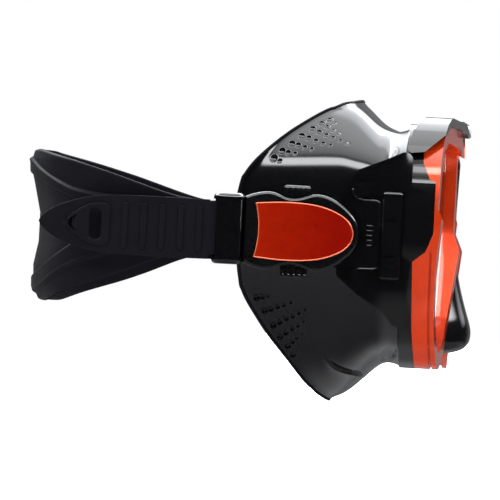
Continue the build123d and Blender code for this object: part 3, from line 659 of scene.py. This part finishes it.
# nose pocket: profile along the middle (x, z) and half width at each height
NOSE_SIDE = [(38, 1.5), (46, 1.2), (52.5, -0.6), (56.0, -6.0), (57.2, -13), (59.0, -21), (61.8, -30),
             (63.2, -36.2), (61.7, -41), (56.5, -43.6), (48, -45.0), (38, -45.6)]
NOSE_WIDTH = [(2, 5.5), (-8, 8.6), (-20, 12.4), (-32, 16.2), (-40, 18.2), (-46, 18.6)]
NOSE_ROOT_X, NOSE_MIDDLE_Z, NOSE_COLUMNS, NOSE_WALL = 37.4, -22, 61, 1.8
NOSE_FULLNESS, NOSE_TAPER, NOSE_FLARE, FLARE_FROM = 3.2, 0.10, 1.6, 0.86
profile = spline(NOSE_SIDE, 70)
breadth = np.linspace(-1, 1, NOSE_COLUMNS)
keep = np.clip(1 - np.abs(breadth) ** NOSE_FULLNESS, 0, 1) ** 0.5
flare = np.clip((np.abs(breadth) - FLARE_FROM) / (1 - FLARE_FROM), 0, 1) ** 2
pocket = []
for x, z in profile:
    half = np.interp(-z, [-h for h, _ in NOSE_WIDTH], [w for _, w in NOSE_WIDTH])
    px = NOSE_ROOT_X + (x - NOSE_ROOT_X) * keep
    pz = NOSE_MIDDLE_Z + (z - NOSE_MIDDLE_Z) * (1 - NOSE_TAPER * np.abs(breadth) ** 3)
    py = breadth * half + np.sign(breadth) * flare * NOSE_FLARE
    pocket += list(np.stack([px, py, pz], axis=1))
nose_outline = np.array([(p[1], p[2]) for p in pocket]).reshape(len(profile), NOSE_COLUMNS, 2)
nose_edge = np.vstack([nose_outline[:, 0], nose_outline[-1, 1:-1], nose_outline[::-1, -1],
                       nose_outline[0, -2:0:-1]])
nose = mesh_object("skirt_nose_pocket", np.array(pocket) * MM,
                   ring_faces(len(profile), NOSE_COLUMNS, wrap_columns=False), SILICONE, "mask")
thick = nose.modifiers.new("wall", "SOLIDIFY")
thick.thickness, thick.offset, thick.use_even_offset = NOSE_WALL * MM, -1.0, True

# front wall of the skirt, with openings for the eyes and the nose, and the two eye sleeves
FRONT_WALL_X, FRONT_WALL_HALF, FRONT_WALL_BEVEL = 37.25, 0.95, 0.2
WALL_INSET, EYE_INSET, NOSE_INSET, WALL_BEHIND_LENS = -2.0, -3.0, -1.2, -12.5
# an eye sleeve's section: how far outside the lens outline, then how far ahead of the lens
SLEEVE = [(-3.0, -12.6), (-3.0, -4.6), (-2.7, -4.2), (-0.4, -4.2), (-0.1, -4.5), (0.0, -6),
          (0.0, -12.6)]
wall_edge = grown(face_plane[::3, 1:], WALL_INSET)
openings = [eye_points(grown(eye, EYE_INSET), WALL_BEHIND_LENS, sign)[:, 1:] for _, sign in SIDES]
points, faces = filled("wall_outline", [wall_edge, *openings, grown(nose_edge[::2], NOSE_INSET)],
                       FRONT_WALL_HALF, FRONT_WALL_BEVEL)
points = np.stack([points[:, 2] + FRONT_WALL_X, points[:, 0], points[:, 1]], axis=1)
mesh_object("skirt_front_wall", points * MM, faces, SILICONE, "mask")
for side_name, sign in SIDES:
    points = np.vstack([eye_points(grown(eye, grow), ahead, sign) for grow, ahead in SLEEVE])
    mesh_object(f"skirt_eye_sleeve_{side_name}", points * MM,
                ring_faces(len(SLEEVE), len(eye), wrap_rows=True), SILICONE, "mask")


# ---- buckle trim: a bead round each orange plate, paler as a painted highlight, raised dots on the grips ---
PIVOT_Z = -0.8
COVER_TOP = [(-16.8, 10.3), (-8, 11.0), (0.0, 11.0), (9, 9.8), (14.8, 7.6), (18.9, 4.5), (20.6, 0)]
COVER_OUT, DISH_X, DISH_R = 88.2, -13.0, 30.0
DOT_R, DOT_OUT, DOT_X, DOT_PITCH, DOT_COUNT = 0.75, 84.3, -5.2, 2.0, 5
# the grips' dots: which grip, the body it belongs to, and the height of its row
DOT_ROWS = [("upper", "button_up", 15.4), ("lower", "button_low", -17.2)]


def cover_face_y(x):
    """Distance of the plate's outer face from the middle; its rear end is dished."""
    below = np.clip(DISH_R ** 2 - (np.asarray(x) - DISH_X) ** 2, 0, None)
    dish = COVER_OUT + DISH_R - 1 - np.sqrt(below)
    return np.minimum(COVER_OUT, dish)


def dome(name, centres, radius, sign, material, body):
    """Low round bumps on a face that looks outwards, half as high as they are wide."""
    steps, around, points, faces = 5, 14, [], []
    for cx, cy, cz in centres:
        start = len(points)
        for i in range(steps + 1):
            lean = pi / 2 * i / steps
            for k in range(around):
                a = 2 * pi * k / around
                r = radius * max(sin(lean), 0.02)
                points.append((cx + r * cos(a), (cy + 0.5 * radius * cos(lean)) * sign,
                               cz + r * sin(a)))
        faces += [tuple(start + v for v in face) for face in ring_faces(steps + 1, around)]
        faces.append(tuple(start + k for k in range(around)))
        faces.append(tuple(start + steps * around + k for k in range(around)))
    return mesh_object(name, np.array(points) * MM, faces, material, body)


# the plate's outline in side view, drawn in a little to the middle of its rim, where the painted
# highlight runs
REAR_SAG, EDGE_INSET, EDGE_SUNK, EDGE_R = 1.4, (0.985, 0.975), 0.12, 0.24
over = spline(COVER_TOP + [(x, -h) for x, h in COVER_TOP[-2::-1]], 140)
share = np.linspace(0, 1, 40)[1:-1]
rear = np.stack([over[-1, 0] + REAR_SAG * 4 * share * (1 - share),
                 over[-1, 1] + (over[0, 1] - over[-1, 1]) * share], axis=1)
plate_edge = np.vstack([over, rear]) * EDGE_INSET
# raised lip round each lug plate, and the scale marks on the plate
LIP = [(18.9, 16.6), (20.2, 13.8), (22.2, 12.5), (28.8, 12.4), (29.9, 11.2), (29.9, -12.0),
       (28.8, -13.3), (22.0, -13.4), (20.0, -14.8)]
LUG_FACE, LIP_R = 77.6, 0.42
MARK_X, MARK_PITCH, MARK_COUNT, MARK_R, MARK_OUT = (24.8, 25.6, 26.4, 27.2), 1.85, 5, 0.34, 0.2
lip_plan = even(np.array(LIP), 90)
lip_plan[2:-2] = sum(lip_plan[k:len(lip_plan) - 4 + k] for k in range(5)) / 5
for side_name, sign in SIDES:
    lip = np.stack([lip_plan[:, 0], np.full(len(lip_plan), LUG_FACE * sign), lip_plan[:, 1]],
                   axis=1)
    tube(f"lug_lip_{side_name}", lip, LIP_R, GLOSS, "mask", closed=False)
    for k in range(MARK_COUNT):
        height = PIVOT_Z + (k - MARK_COUNT // 2) * MARK_PITCH
        mark = np.array([(x, (LUG_FACE + MARK_OUT) * sign, height) for x in MARK_X])
        tube(f"scale_mark_{k + 1}_{side_name}", mark, MARK_R, SATIN, "mask",
             closed=False)
    path = np.stack([plate_edge[:, 0], (cover_face_y(plate_edge[:, 0]) - EDGE_SUNK) * sign,
                     plate_edge[:, 1] + PIVOT_Z], axis=1)
    # the bead is a real rounded rim; its paler orange is a painted highlight
    tube(f"cover_edge_highlight_{side_name}", path, EDGE_R, PLATE_EDGE_HIGHLIGHT, f"buckle_{side_name}")
    for part_name, body, height in DOT_ROWS:
        dots = [(DOT_X + DOT_PITCH * k, DOT_OUT, height) for k in range(DOT_COUNT)]
        dome(f"grip_dots_{part_name}_{side_name}", dots, DOT_R, sign, SATIN,
             f"{body}_{side_name}")


# ---- strap guides: rounded sleeves behind each buckle, cut through for the strap -----------
GUIDE_X, GUIDE_Y = (-32.7, -20.8), (76.6, 89.9)
GUIDE_CORNERS, GUIDE_EDGE, GUIDE_EDGE_ANGLE = [2.2, 2.2, 4.4, 4.6], 0.35, radians(50)
GUIDE_HALF, GUIDE_ROUND, GUIDE_STEPS = 13.4, 1.9, 8
SLOT_X, SLOT_Y, SLOT_HALF = (-40.0, -19.8), (77.9, 88.6), 10.9


def cut_away(obj, cutter):
    """Takes the cutter's shape out of obj, and removes the cutter."""
    step = obj.modifiers.new("cut", "BOOLEAN")
    step.object, step.operation, step.solver = cutter, "DIFFERENCE", "EXACT"
    bpy.context.view_layer.update()
    made = bpy.data.meshes.new_from_object(
        obj.evaluated_get(bpy.context.evaluated_depsgraph_get()))
    obj.modifiers.clear()
    obj.data = made
    bpy.data.objects.remove(cutter)


def block(name, x, y, z):
    """A box between two places along each axis, in metres."""
    mesh = bpy.data.meshes.new(name)
    work = bmesh.new()
    bmesh.ops.create_cube(work, size=1.0)
    for v in work.verts:
        v.co = [(low + high) / 2 + c * (high - low) for c, (low, high) in zip(v.co, (x, y, z))]
    work.to_mesh(mesh)
    work.free()
    obj = bpy.data.objects.new(name, mesh)
    bpy.context.scene.collection.objects.link(obj)
    return obj


for side_name, sign in SIDES:
    corners = [(GUIDE_X[0], GUIDE_Y[0]), (GUIDE_X[1], GUIDE_Y[0]), (GUIDE_X[1], GUIDE_Y[1]),
               (GUIDE_X[0], GUIDE_Y[1])]
    base = rounded(corners, GUIDE_CORNERS, 12)
    rows = []
    for k in range(2 * GUIDE_STEPS + 2):
        turn = (k if k <= GUIDE_STEPS else k - 1) / GUIDE_STEPS * pi / 2
        inset = GUIDE_ROUND * (1 - sin(turn))
        rise = (GUIDE_HALF - GUIDE_ROUND) * (-1 if k <= GUIDE_STEPS else 1)
        z = PIVOT_Z + rise - GUIDE_ROUND * cos(turn)
        ring_now = grown(base, -inset)
        rows.append(np.stack([ring_now[:, 0], ring_now[:, 1] * sign,
                              np.full(len(base), z)], axis=1))
    count = len(base)
    faces = ring_faces(len(rows), count)
    faces += [tuple(range(count)), tuple((len(rows) - 1) * count + k for k in range(count))]
    guide = mesh_object(f"strap_guide_{side_name}", np.vstack(rows) * MM, faces, GLOSS,
                        f"buckle_{side_name}")
    y_cut = sorted((SLOT_Y[0] * sign * MM, SLOT_Y[1] * sign * MM))
    cutter = block("guide_slot", (SLOT_X[0] * MM, SLOT_X[1] * MM), y_cut,
                   ((PIVOT_Z - SLOT_HALF) * MM, (PIVOT_Z + SLOT_HALF) * MM))
    cut_away(guide, cutter)
    edges = guide.modifiers.new("edges", "BEVEL")
    edges.width, edges.segments, edges.limit_method = GUIDE_EDGE * MM, EDGE_SEGMENTS, "ANGLE"
    edges.angle_limit = GUIDE_EDGE_ANGLE
    guide.modifiers.new("shading", "WEIGHTED_NORMAL").weight = SHADING_WEIGHT
    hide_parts(f"guide_{side_name}")


# ---- strap ----------------------------------------------------------------
# the loop in plan (x, y); the other lines are (x, height): the pad's edges, the raised band's
# edges, the split in the band, and (height, depth) of the hollow in the back of the pad
ROLLER = (-26.0, 83.2)
WRAP_R = 3.45
INNER_Y, OUTER_Y = ROLLER[1] - WRAP_R, ROLLER[1] + WRAP_R
LOOP_PLAN = [(-62, -INNER_Y), (-74, -77.0), (-84, -70.5), (-92.5, -58), (-98.4, -41), (-102.6, -21),
             (-104, 0)]
PAD_TOP = [(-26, 9.4), (-37, 9.4), (-46, 10.3), (-54, 12.4), (-63, 15.2), (-72, 18.0),
           (-81.5, 20.6), (-91, 23.2), (-103.2, 26.5), (-104.2, 25.6)]
PAD_LOW = [(-26, -11.0), (-42, -11.2), (-48.5, -12.0), (-53, -13.4), (-57, -15.1), (-66, -19.2),
           (-74.6, -22.7), (-84, -26.0), (-92.5, -29.1), (-98, -31.2), (-101.5, -32.4),
           (-104.2, -31.0)]
BAND_TOP = [(-33, 8.4), (-48, 8.4), (-65, 8.7), (-77, 9.6), (-87, 11.4), (-95.5, 16), (-103, 22.6),
            (-104.2, 23.8)]
BAND_LOW = [(-33, -11.6), (-62, -11.4), (-70.2, -12.2), (-82, -16.1), (-91.5, -21.2), (-98, -26.6),
            (-104.2, -29.5)]
SPLIT_TOP = [(-83.5, 1), (-86, 8.0), (-94.5, 11.3), (-101, 15.0), (-104.2, 17.2)]
SPLIT_LOW = [(-83.5, 1), (-85.5, -9.5), (-93, -14.5), (-99, -19.5), (-104.2, -23)]
REAR_DISH = [(-32.6, -3.6), (-31.3, -2.6), (-26.6, -0.4), (-18, 0), (-9.2, -1.6), (1.8, -1.6),
             (13, 1.0), (17.2, 2.1), (21.9, 2.4), (25.0, 1.6), (27, -0.6)]
STRAP_EDGE_R, STRAP_HALF, BAND_FROM_X, SPLIT_FROM_X = 0.8, 10.1, -33, -84
BAND_RAISE, LIP_RAISE, LIP_IN, LIP_WIDTH, STEP_WIDTH = 0.85, 0.25, 0.9, 0.6, 0.9
BAND_FADE, DISH_FADE = 3, 18


def line_at(points, x):
    """Height at x of the line through the points."""
    p = np.array(points, float)
    order = np.argsort(p[:, 0])
    return np.interp(x, p[order, 0], p[order, 1])


def between(z, low, high):
    """1 between two heights, 0 outside, with a soft step at each."""
    return smooth((high - z) / STEP_WIDTH + 0.5) * smooth((z - low) / STEP_WIDTH + 0.5)


def softened(points, x):
    """The line through the points, with its corners rounded by averaging nearby."""
    offsets = np.linspace(-3.5, 3.5, 15)
    return np.mean([line_at(points, np.asarray(x) + o) for o in offsets], axis=0)


outer_run = np.stack([np.linspace(-52, ROLLER[0], 26, endpoint=False), np.full(26, -OUTER_Y)],
                     axis=1)
turn = np.linspace(-pi / 2, pi / 2, 26, endpoint=False)
round_roller = np.stack([ROLLER[0] + WRAP_R * np.cos(turn), -ROLLER[1] + WRAP_R * np.sin(turn)],
                        axis=1)
inner_run = np.stack([np.linspace(ROLLER[0], -46, 18, endpoint=False), np.full(18, -INNER_Y)],
                     axis=1)
bend_plan = [(-46, -INNER_Y), (-54, -INNER_Y)] + LOOP_PLAN
mirrored_plan = bend_plan + [(x, -y) for x, y in bend_plan[-2::-1]]
bend = spline(mirrored_plan, 321)
# from a free end round the roller to the bend, then the bend, then the same in mirror image
half_way = np.vstack([outer_run, round_roller, inner_run])
plan = np.vstack([half_way, bend, half_way[::-1] * (1, -1)])
heading = np.gradient(plan, axis=0)
heading /= np.linalg.norm(heading, axis=1, keepdims=True)
outwards = np.stack([heading[:, 1], -heading[:, 0]], axis=1)
if (outwards[len(plan) // 2] @ (-1, 0)) < 0:
    outwards = -outwards
on_loop = np.zeros(len(plan))
LOOP_LEAD, ACROSS = 12, 170
on_loop[len(half_way) - LOOP_LEAD:len(plan) - len(half_way) + LOOP_LEAD] = 1
levels = np.linspace(0, 1, ACROSS)
sheets_out, sheets_in = [], []
for i, (p, n, loop) in enumerate(zip(plan, outwards, on_loop)):
    x = p[0]
    if loop:
        top, low = softened(PAD_TOP, x), softened(PAD_LOW, x)
    else:
        top, low = PIVOT_Z + STRAP_HALF, PIVOT_Z - STRAP_HALF
    z = low + (top - low) * levels
    edge = np.minimum(z - low, top - z)
    half = STRAP_EDGE_R * np.sqrt(np.clip(1 - np.clip(1 - edge / STRAP_EDGE_R, 0, 1) ** 2, 0, 1))
    raise_by = np.zeros(ACROSS)
    if loop and x < BAND_FROM_X:
        band_top, band_low = softened(BAND_TOP, x), softened(BAND_LOW, x)
        inside = between(z, band_low, band_top)
        if x < SPLIT_FROM_X:
            inside *= 1 - between(z, line_at(SPLIT_LOW, x), line_at(SPLIT_TOP, x))
        lip = (np.exp(-((z - band_top + LIP_IN) / LIP_WIDTH) ** 2)
               + np.exp(-((z - band_low - LIP_IN) / LIP_WIDTH) ** 2))
        raise_by = (inside * BAND_RAISE + lip * LIP_RAISE) * smooth((BAND_FROM_X - x) / BAND_FADE)
        raise_by *= np.clip(edge / STRAP_EDGE_R, 0, 1)
    dish = np.interp(z, *zip(*REAR_DISH)) * smooth((SPLIT_FROM_X - x) / DISH_FADE)
    for side_sheet, off in ((sheets_out, half + raise_by + dish), (sheets_in, dish - half)):
        sheet = np.stack([p[0] + n[0] * off, p[1] + n[1] * off, z], axis=1)
        side_sheet.append(sheet)
loop_points = np.array([np.vstack([a, b[::-1]]) for a, b in zip(sheets_out, sheets_in)])
ROWS, ROUND = loop_points.shape[:2]
faces = ring_faces(ROWS, ROUND)
faces += [tuple(range(ROUND))[::-1], tuple((ROWS - 1) * ROUND + k for k in range(ROUND))]
strap = mesh_object("strap_loop", loop_points.reshape(-1, 3) * MM, faces, RUBBER, "strap_body")
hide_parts("strap")

FREE_PLAN = [(-34, -OUTER_Y), (-48, -OUTER_Y), (-62, -OUTER_Y), (-71, -86.2), (-80, -85.0),
             (-90, -82.4), (-99.5, -79.0)]
free_line = spline(FREE_PLAN, 200)
TONGUE_Z = -1.5
TONGUE_TOP = [(-34, 9.7), (-66, 9.7), (-74, 9.3), (-82, 7.9), (-89, 5.6), (-94.6, 2.6), (-97.6, 0.0)]
tongue_top = spline(TONGUE_TOP, 60)
tongue = np.vstack([tongue_top, [(-98.3, TONGUE_Z)],
                    np.stack([tongue_top[::-1, 0], 2 * TONGUE_Z - tongue_top[::-1, 1]], axis=1)])
RING = [(-71.0, 6.6), (-71.0, -9.7), (-79.0, -9.5), (-90.8, -1.6), (-79.0, 6.4)]
RING_RADII = [2.4, 2.4, 10, 4.6, 10]
SLOT_WINDOW = [(-74.4, 4.1), (-74.4, -7.3), (-78.6, -7.3), (-78.6, 4.1)]
EYE_WINDOW = [(-82.7, 3.2), (-82.7, -6.4), (-87.7, -3.0), (-87.7, -0.2)]
ring_outline = rounded(RING, RING_RADII, 10)
windows = [rounded(SLOT_WINDOW, [1.6] * 4, 6), rounded(EYE_WINDOW, [1.0, 1.0, 1.5, 1.5], 6)]
CUTS = np.linspace(-97, -36, 62)


def bent(points, offset, sign):
    """A flat piece drawn in side view, bent along the strap's free end."""
    slope = np.gradient(free_line[:, 1], free_line[:, 0])
    order = np.argsort(free_line[:, 0])
    y = np.interp(points[:, 0], free_line[order, 0], free_line[order, 1])
    k = np.interp(points[:, 0], free_line[order, 0], slope[order])
    n = np.stack([k, -np.ones_like(k)], axis=1) / np.hypot(k, 1)[:, None]
    off = points[:, 2] + offset
    return np.stack([points[:, 0] + n[:, 0] * off, (y + n[:, 1] * off) * -sign, points[:, 1]],
                    axis=1)


# half thickness and bevel of each flat piece, then the ribs: first one's x, half width, top, foot
TONGUE_HALF, TONGUE_BEVEL = 0.9, 0.3
RING_HALF, RING_BEVEL, RING_OUT = 1.8, 0.8, 0.1
RIB_HALF, RIB_BEVEL, RIB_OUT, RIB_PITCH, RIB_COUNT = 0.8, 0.45, 0.82, 7.0, 5
RIB_X, RIB_WIDE, RIB_TOP, RIB_FOOT, RIB_CORNER = -37.6, 1.2, 7.1, -10.2, 1.1
tongue_flat = filled("tongue_outline", [tongue, *windows], TONGUE_HALF, TONGUE_BEVEL, CUTS)
ring_flat = filled("ring_outline", [ring_outline, *windows], RING_HALF, RING_BEVEL, CUTS)
for side_name, sign in SIDES:
    points, faces = tongue_flat
    mesh_object(f"strap_free_end_{side_name}", bent(points, 0, sign) * MM, faces, RUBBER,
                "strap_body")
    points, faces = ring_flat
    mesh_object(f"strap_pull_ring_{side_name}", bent(points, RING_OUT, sign) * MM, faces, RUBBER,
                "strap_body")
    for k in range(RIB_COUNT):
        x = RIB_X - RIB_PITCH * k
        bar = rounded([(x + RIB_WIDE, RIB_TOP), (x - RIB_WIDE, RIB_TOP), (x - RIB_WIDE, RIB_FOOT),
                       (x + RIB_WIDE, RIB_FOOT)], [RIB_CORNER] * 4, 6)
        points, faces = filled("rib_outline", [bar], RIB_HALF, RIB_BEVEL)
        mesh_object(f"strap_rib_{k + 1}_{side_name}", bent(points, RIB_OUT, sign) * MM, faces,
                    RUBBER, "strap_body")


# ---- studio ---------------------------------------------------------------
scene = bpy.context.scene
scene.view_settings.view_transform = "Standard"
floor_mesh = bpy.data.meshes.new("floor")
FLOOR_HALF, FLOOR_GAP = 4.0, 0.0005
floor_z = min(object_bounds()[0].z, CAD_BOX[0].z) - FLOOR_GAP
floor_mesh.from_pydata([(a * FLOOR_HALF, b * FLOOR_HALF, floor_z)
                        for a, b in ((-1, -1), (1, -1), (1, 1), (-1, 1))], [], [(0, 1, 2, 3)])
floor = bpy.data.objects.new("floor", floor_mesh)
scene.collection.objects.link(floor)
pale, _, _, paint = principled("floor_white")
paint.inputs["Base Color"].default_value = (0.9, 0.9, 0.9, 1)
paint.inputs["Roughness"].default_value = 0.9
paint.inputs["Emission Color"].default_value = (1, 1, 1, 1)
paint.inputs["Emission Strength"].default_value = 0.9
floor_mesh.materials.append(pale)
floor.visible_glossy = False

# studio light: a bright ceiling, a white floor and a pale backdrop on the far side, dark at eye
# level in front
world = bpy.data.worlds.new("studio")
scene.world = world
world.use_nodes = True
nodes, links = world.node_tree.nodes, world.node_tree.links
nodes.clear()
direction = nodes.new("ShaderNodeTexCoord")
split = nodes.new("ShaderNodeSeparateXYZ")
links.new(direction.outputs["Generated"], split.inputs["Vector"])


def ramp_of(socket, stops):
    """Brightness along one axis of the direction: (from -1 to 1, brightness from 0 to 1)."""
    place = nodes.new("ShaderNodeMapRange")
    place.inputs["From Min"].default_value = -1
    links.new(socket, place.inputs["Value"])
    ramp = nodes.new("ShaderNodeValToRGB")
    links.new(place.outputs["Result"], ramp.inputs["Fac"])
    while len(ramp.color_ramp.elements) < len(stops):
        ramp.color_ramp.elements.new(0.5)
    for element, (at, _) in zip(ramp.color_ramp.elements, stops):
        element.position = (at + 1) / 2
    for element, (_, light) in zip(ramp.color_ramp.elements, stops):
        element.color = (*(light * share for share in STUDIO_TINT), 1)
    return ramp.outputs["Color"]


def combined(first, second, blend):
    """Two brightnesses put together: multiplied, or the lighter of the two."""
    both = nodes.new("ShaderNodeMix")
    both.data_type, both.blend_type = "RGBA", blend
    both.inputs["Factor"].default_value = 1.0
    links.new(first, both.inputs[6])
    links.new(second, both.inputs[7])
    return both.outputs[2]


STUDIO_STRENGTH, STUDIO_TINT = 12.0, (0.97, 0.985, 1.0)
ceiling = ramp_of(split.outputs["Z"], [(-1.0, 0.012), (-0.75, 0.022), (-0.45, 0.030),
                                       (-0.20, 0.001), (0.20, 0.001), (0.50, 0.004), (0.55, 0.95),
                                       (0.66, 0.90), (0.69, 0.07), (0.73, 0.07), (0.77, 0.17),
                                       (1.0, 0.30)])
behind = ramp_of(split.outputs["Y"], [(-1.0, 0.0), (0.40, 0.0), (0.85, 0.016), (1.0, 0.016)])
high = ramp_of(split.outputs["Z"], [(-1.0, 0.0), (0.25, 0.0), (0.45, 0.40), (1.0, 0.40)])
far = ramp_of(split.outputs["Y"], [(-1.0, 0.0), (0.05, 0.0), (0.40, 1.0), (1.0, 1.0)])
upper = combined(ceiling, combined(high, far, "MULTIPLY"), "LIGHTEN")
total = combined(upper, behind, "LIGHTEN")
sky = nodes.new("ShaderNodeBackground")
sky.inputs["Strength"].default_value = STUDIO_STRENGTH
links.new(total, sky.inputs["Color"])
backdrop = nodes.new("ShaderNodeBackground")
backdrop.inputs["Color"].default_value = (1, 1, 1, 1)
rays = nodes.new("ShaderNodeLightPath")
mix = nodes.new("ShaderNodeMixShader")
links.new(rays.outputs["Is Camera Ray"], mix.inputs["Fac"])
links.new(sky.outputs["Background"], mix.inputs[1])
links.new(backdrop.outputs["Background"], mix.inputs[2])
out = nodes.new("ShaderNodeOutputWorld")
links.new(mix.outputs["Shader"], out.inputs["Surface"])

# ---- camera ---------------------------------------------------------------
VIEW_TARGET = Vector((-0.0184, -0.080, -0.0085))
VIEW_TURN, VIEW_ROLL = radians(3.0), radians(3.0)
VIEW_DISTANCE, VIEW_WIDTH, SENSOR_WIDTH = 5.0, 0.188, 36.0
lens_camera = bpy.data.cameras.new("camera")
lens_camera.lens = SENSOR_WIDTH * VIEW_DISTANCE / VIEW_WIDTH
lens_camera.clip_end = 50
camera = bpy.data.objects.new("camera", lens_camera)
scene.collection.objects.link(camera)
back = Vector((sin(VIEW_TURN), -cos(VIEW_TURN), 0))
level = Vector((cos(VIEW_TURN), sin(VIEW_TURN), 0))
right = level * cos(VIEW_ROLL) + Vector((0, 0, 1)) * sin(VIEW_ROLL)
up = Vector((0, 0, 1)) * cos(VIEW_ROLL) - level * sin(VIEW_ROLL)
camera.matrix_world = Matrix((right, up, back)).transposed().to_4x4()
camera.location = VIEW_TARGET + back * VIEW_DISTANCE
scene.camera = camera
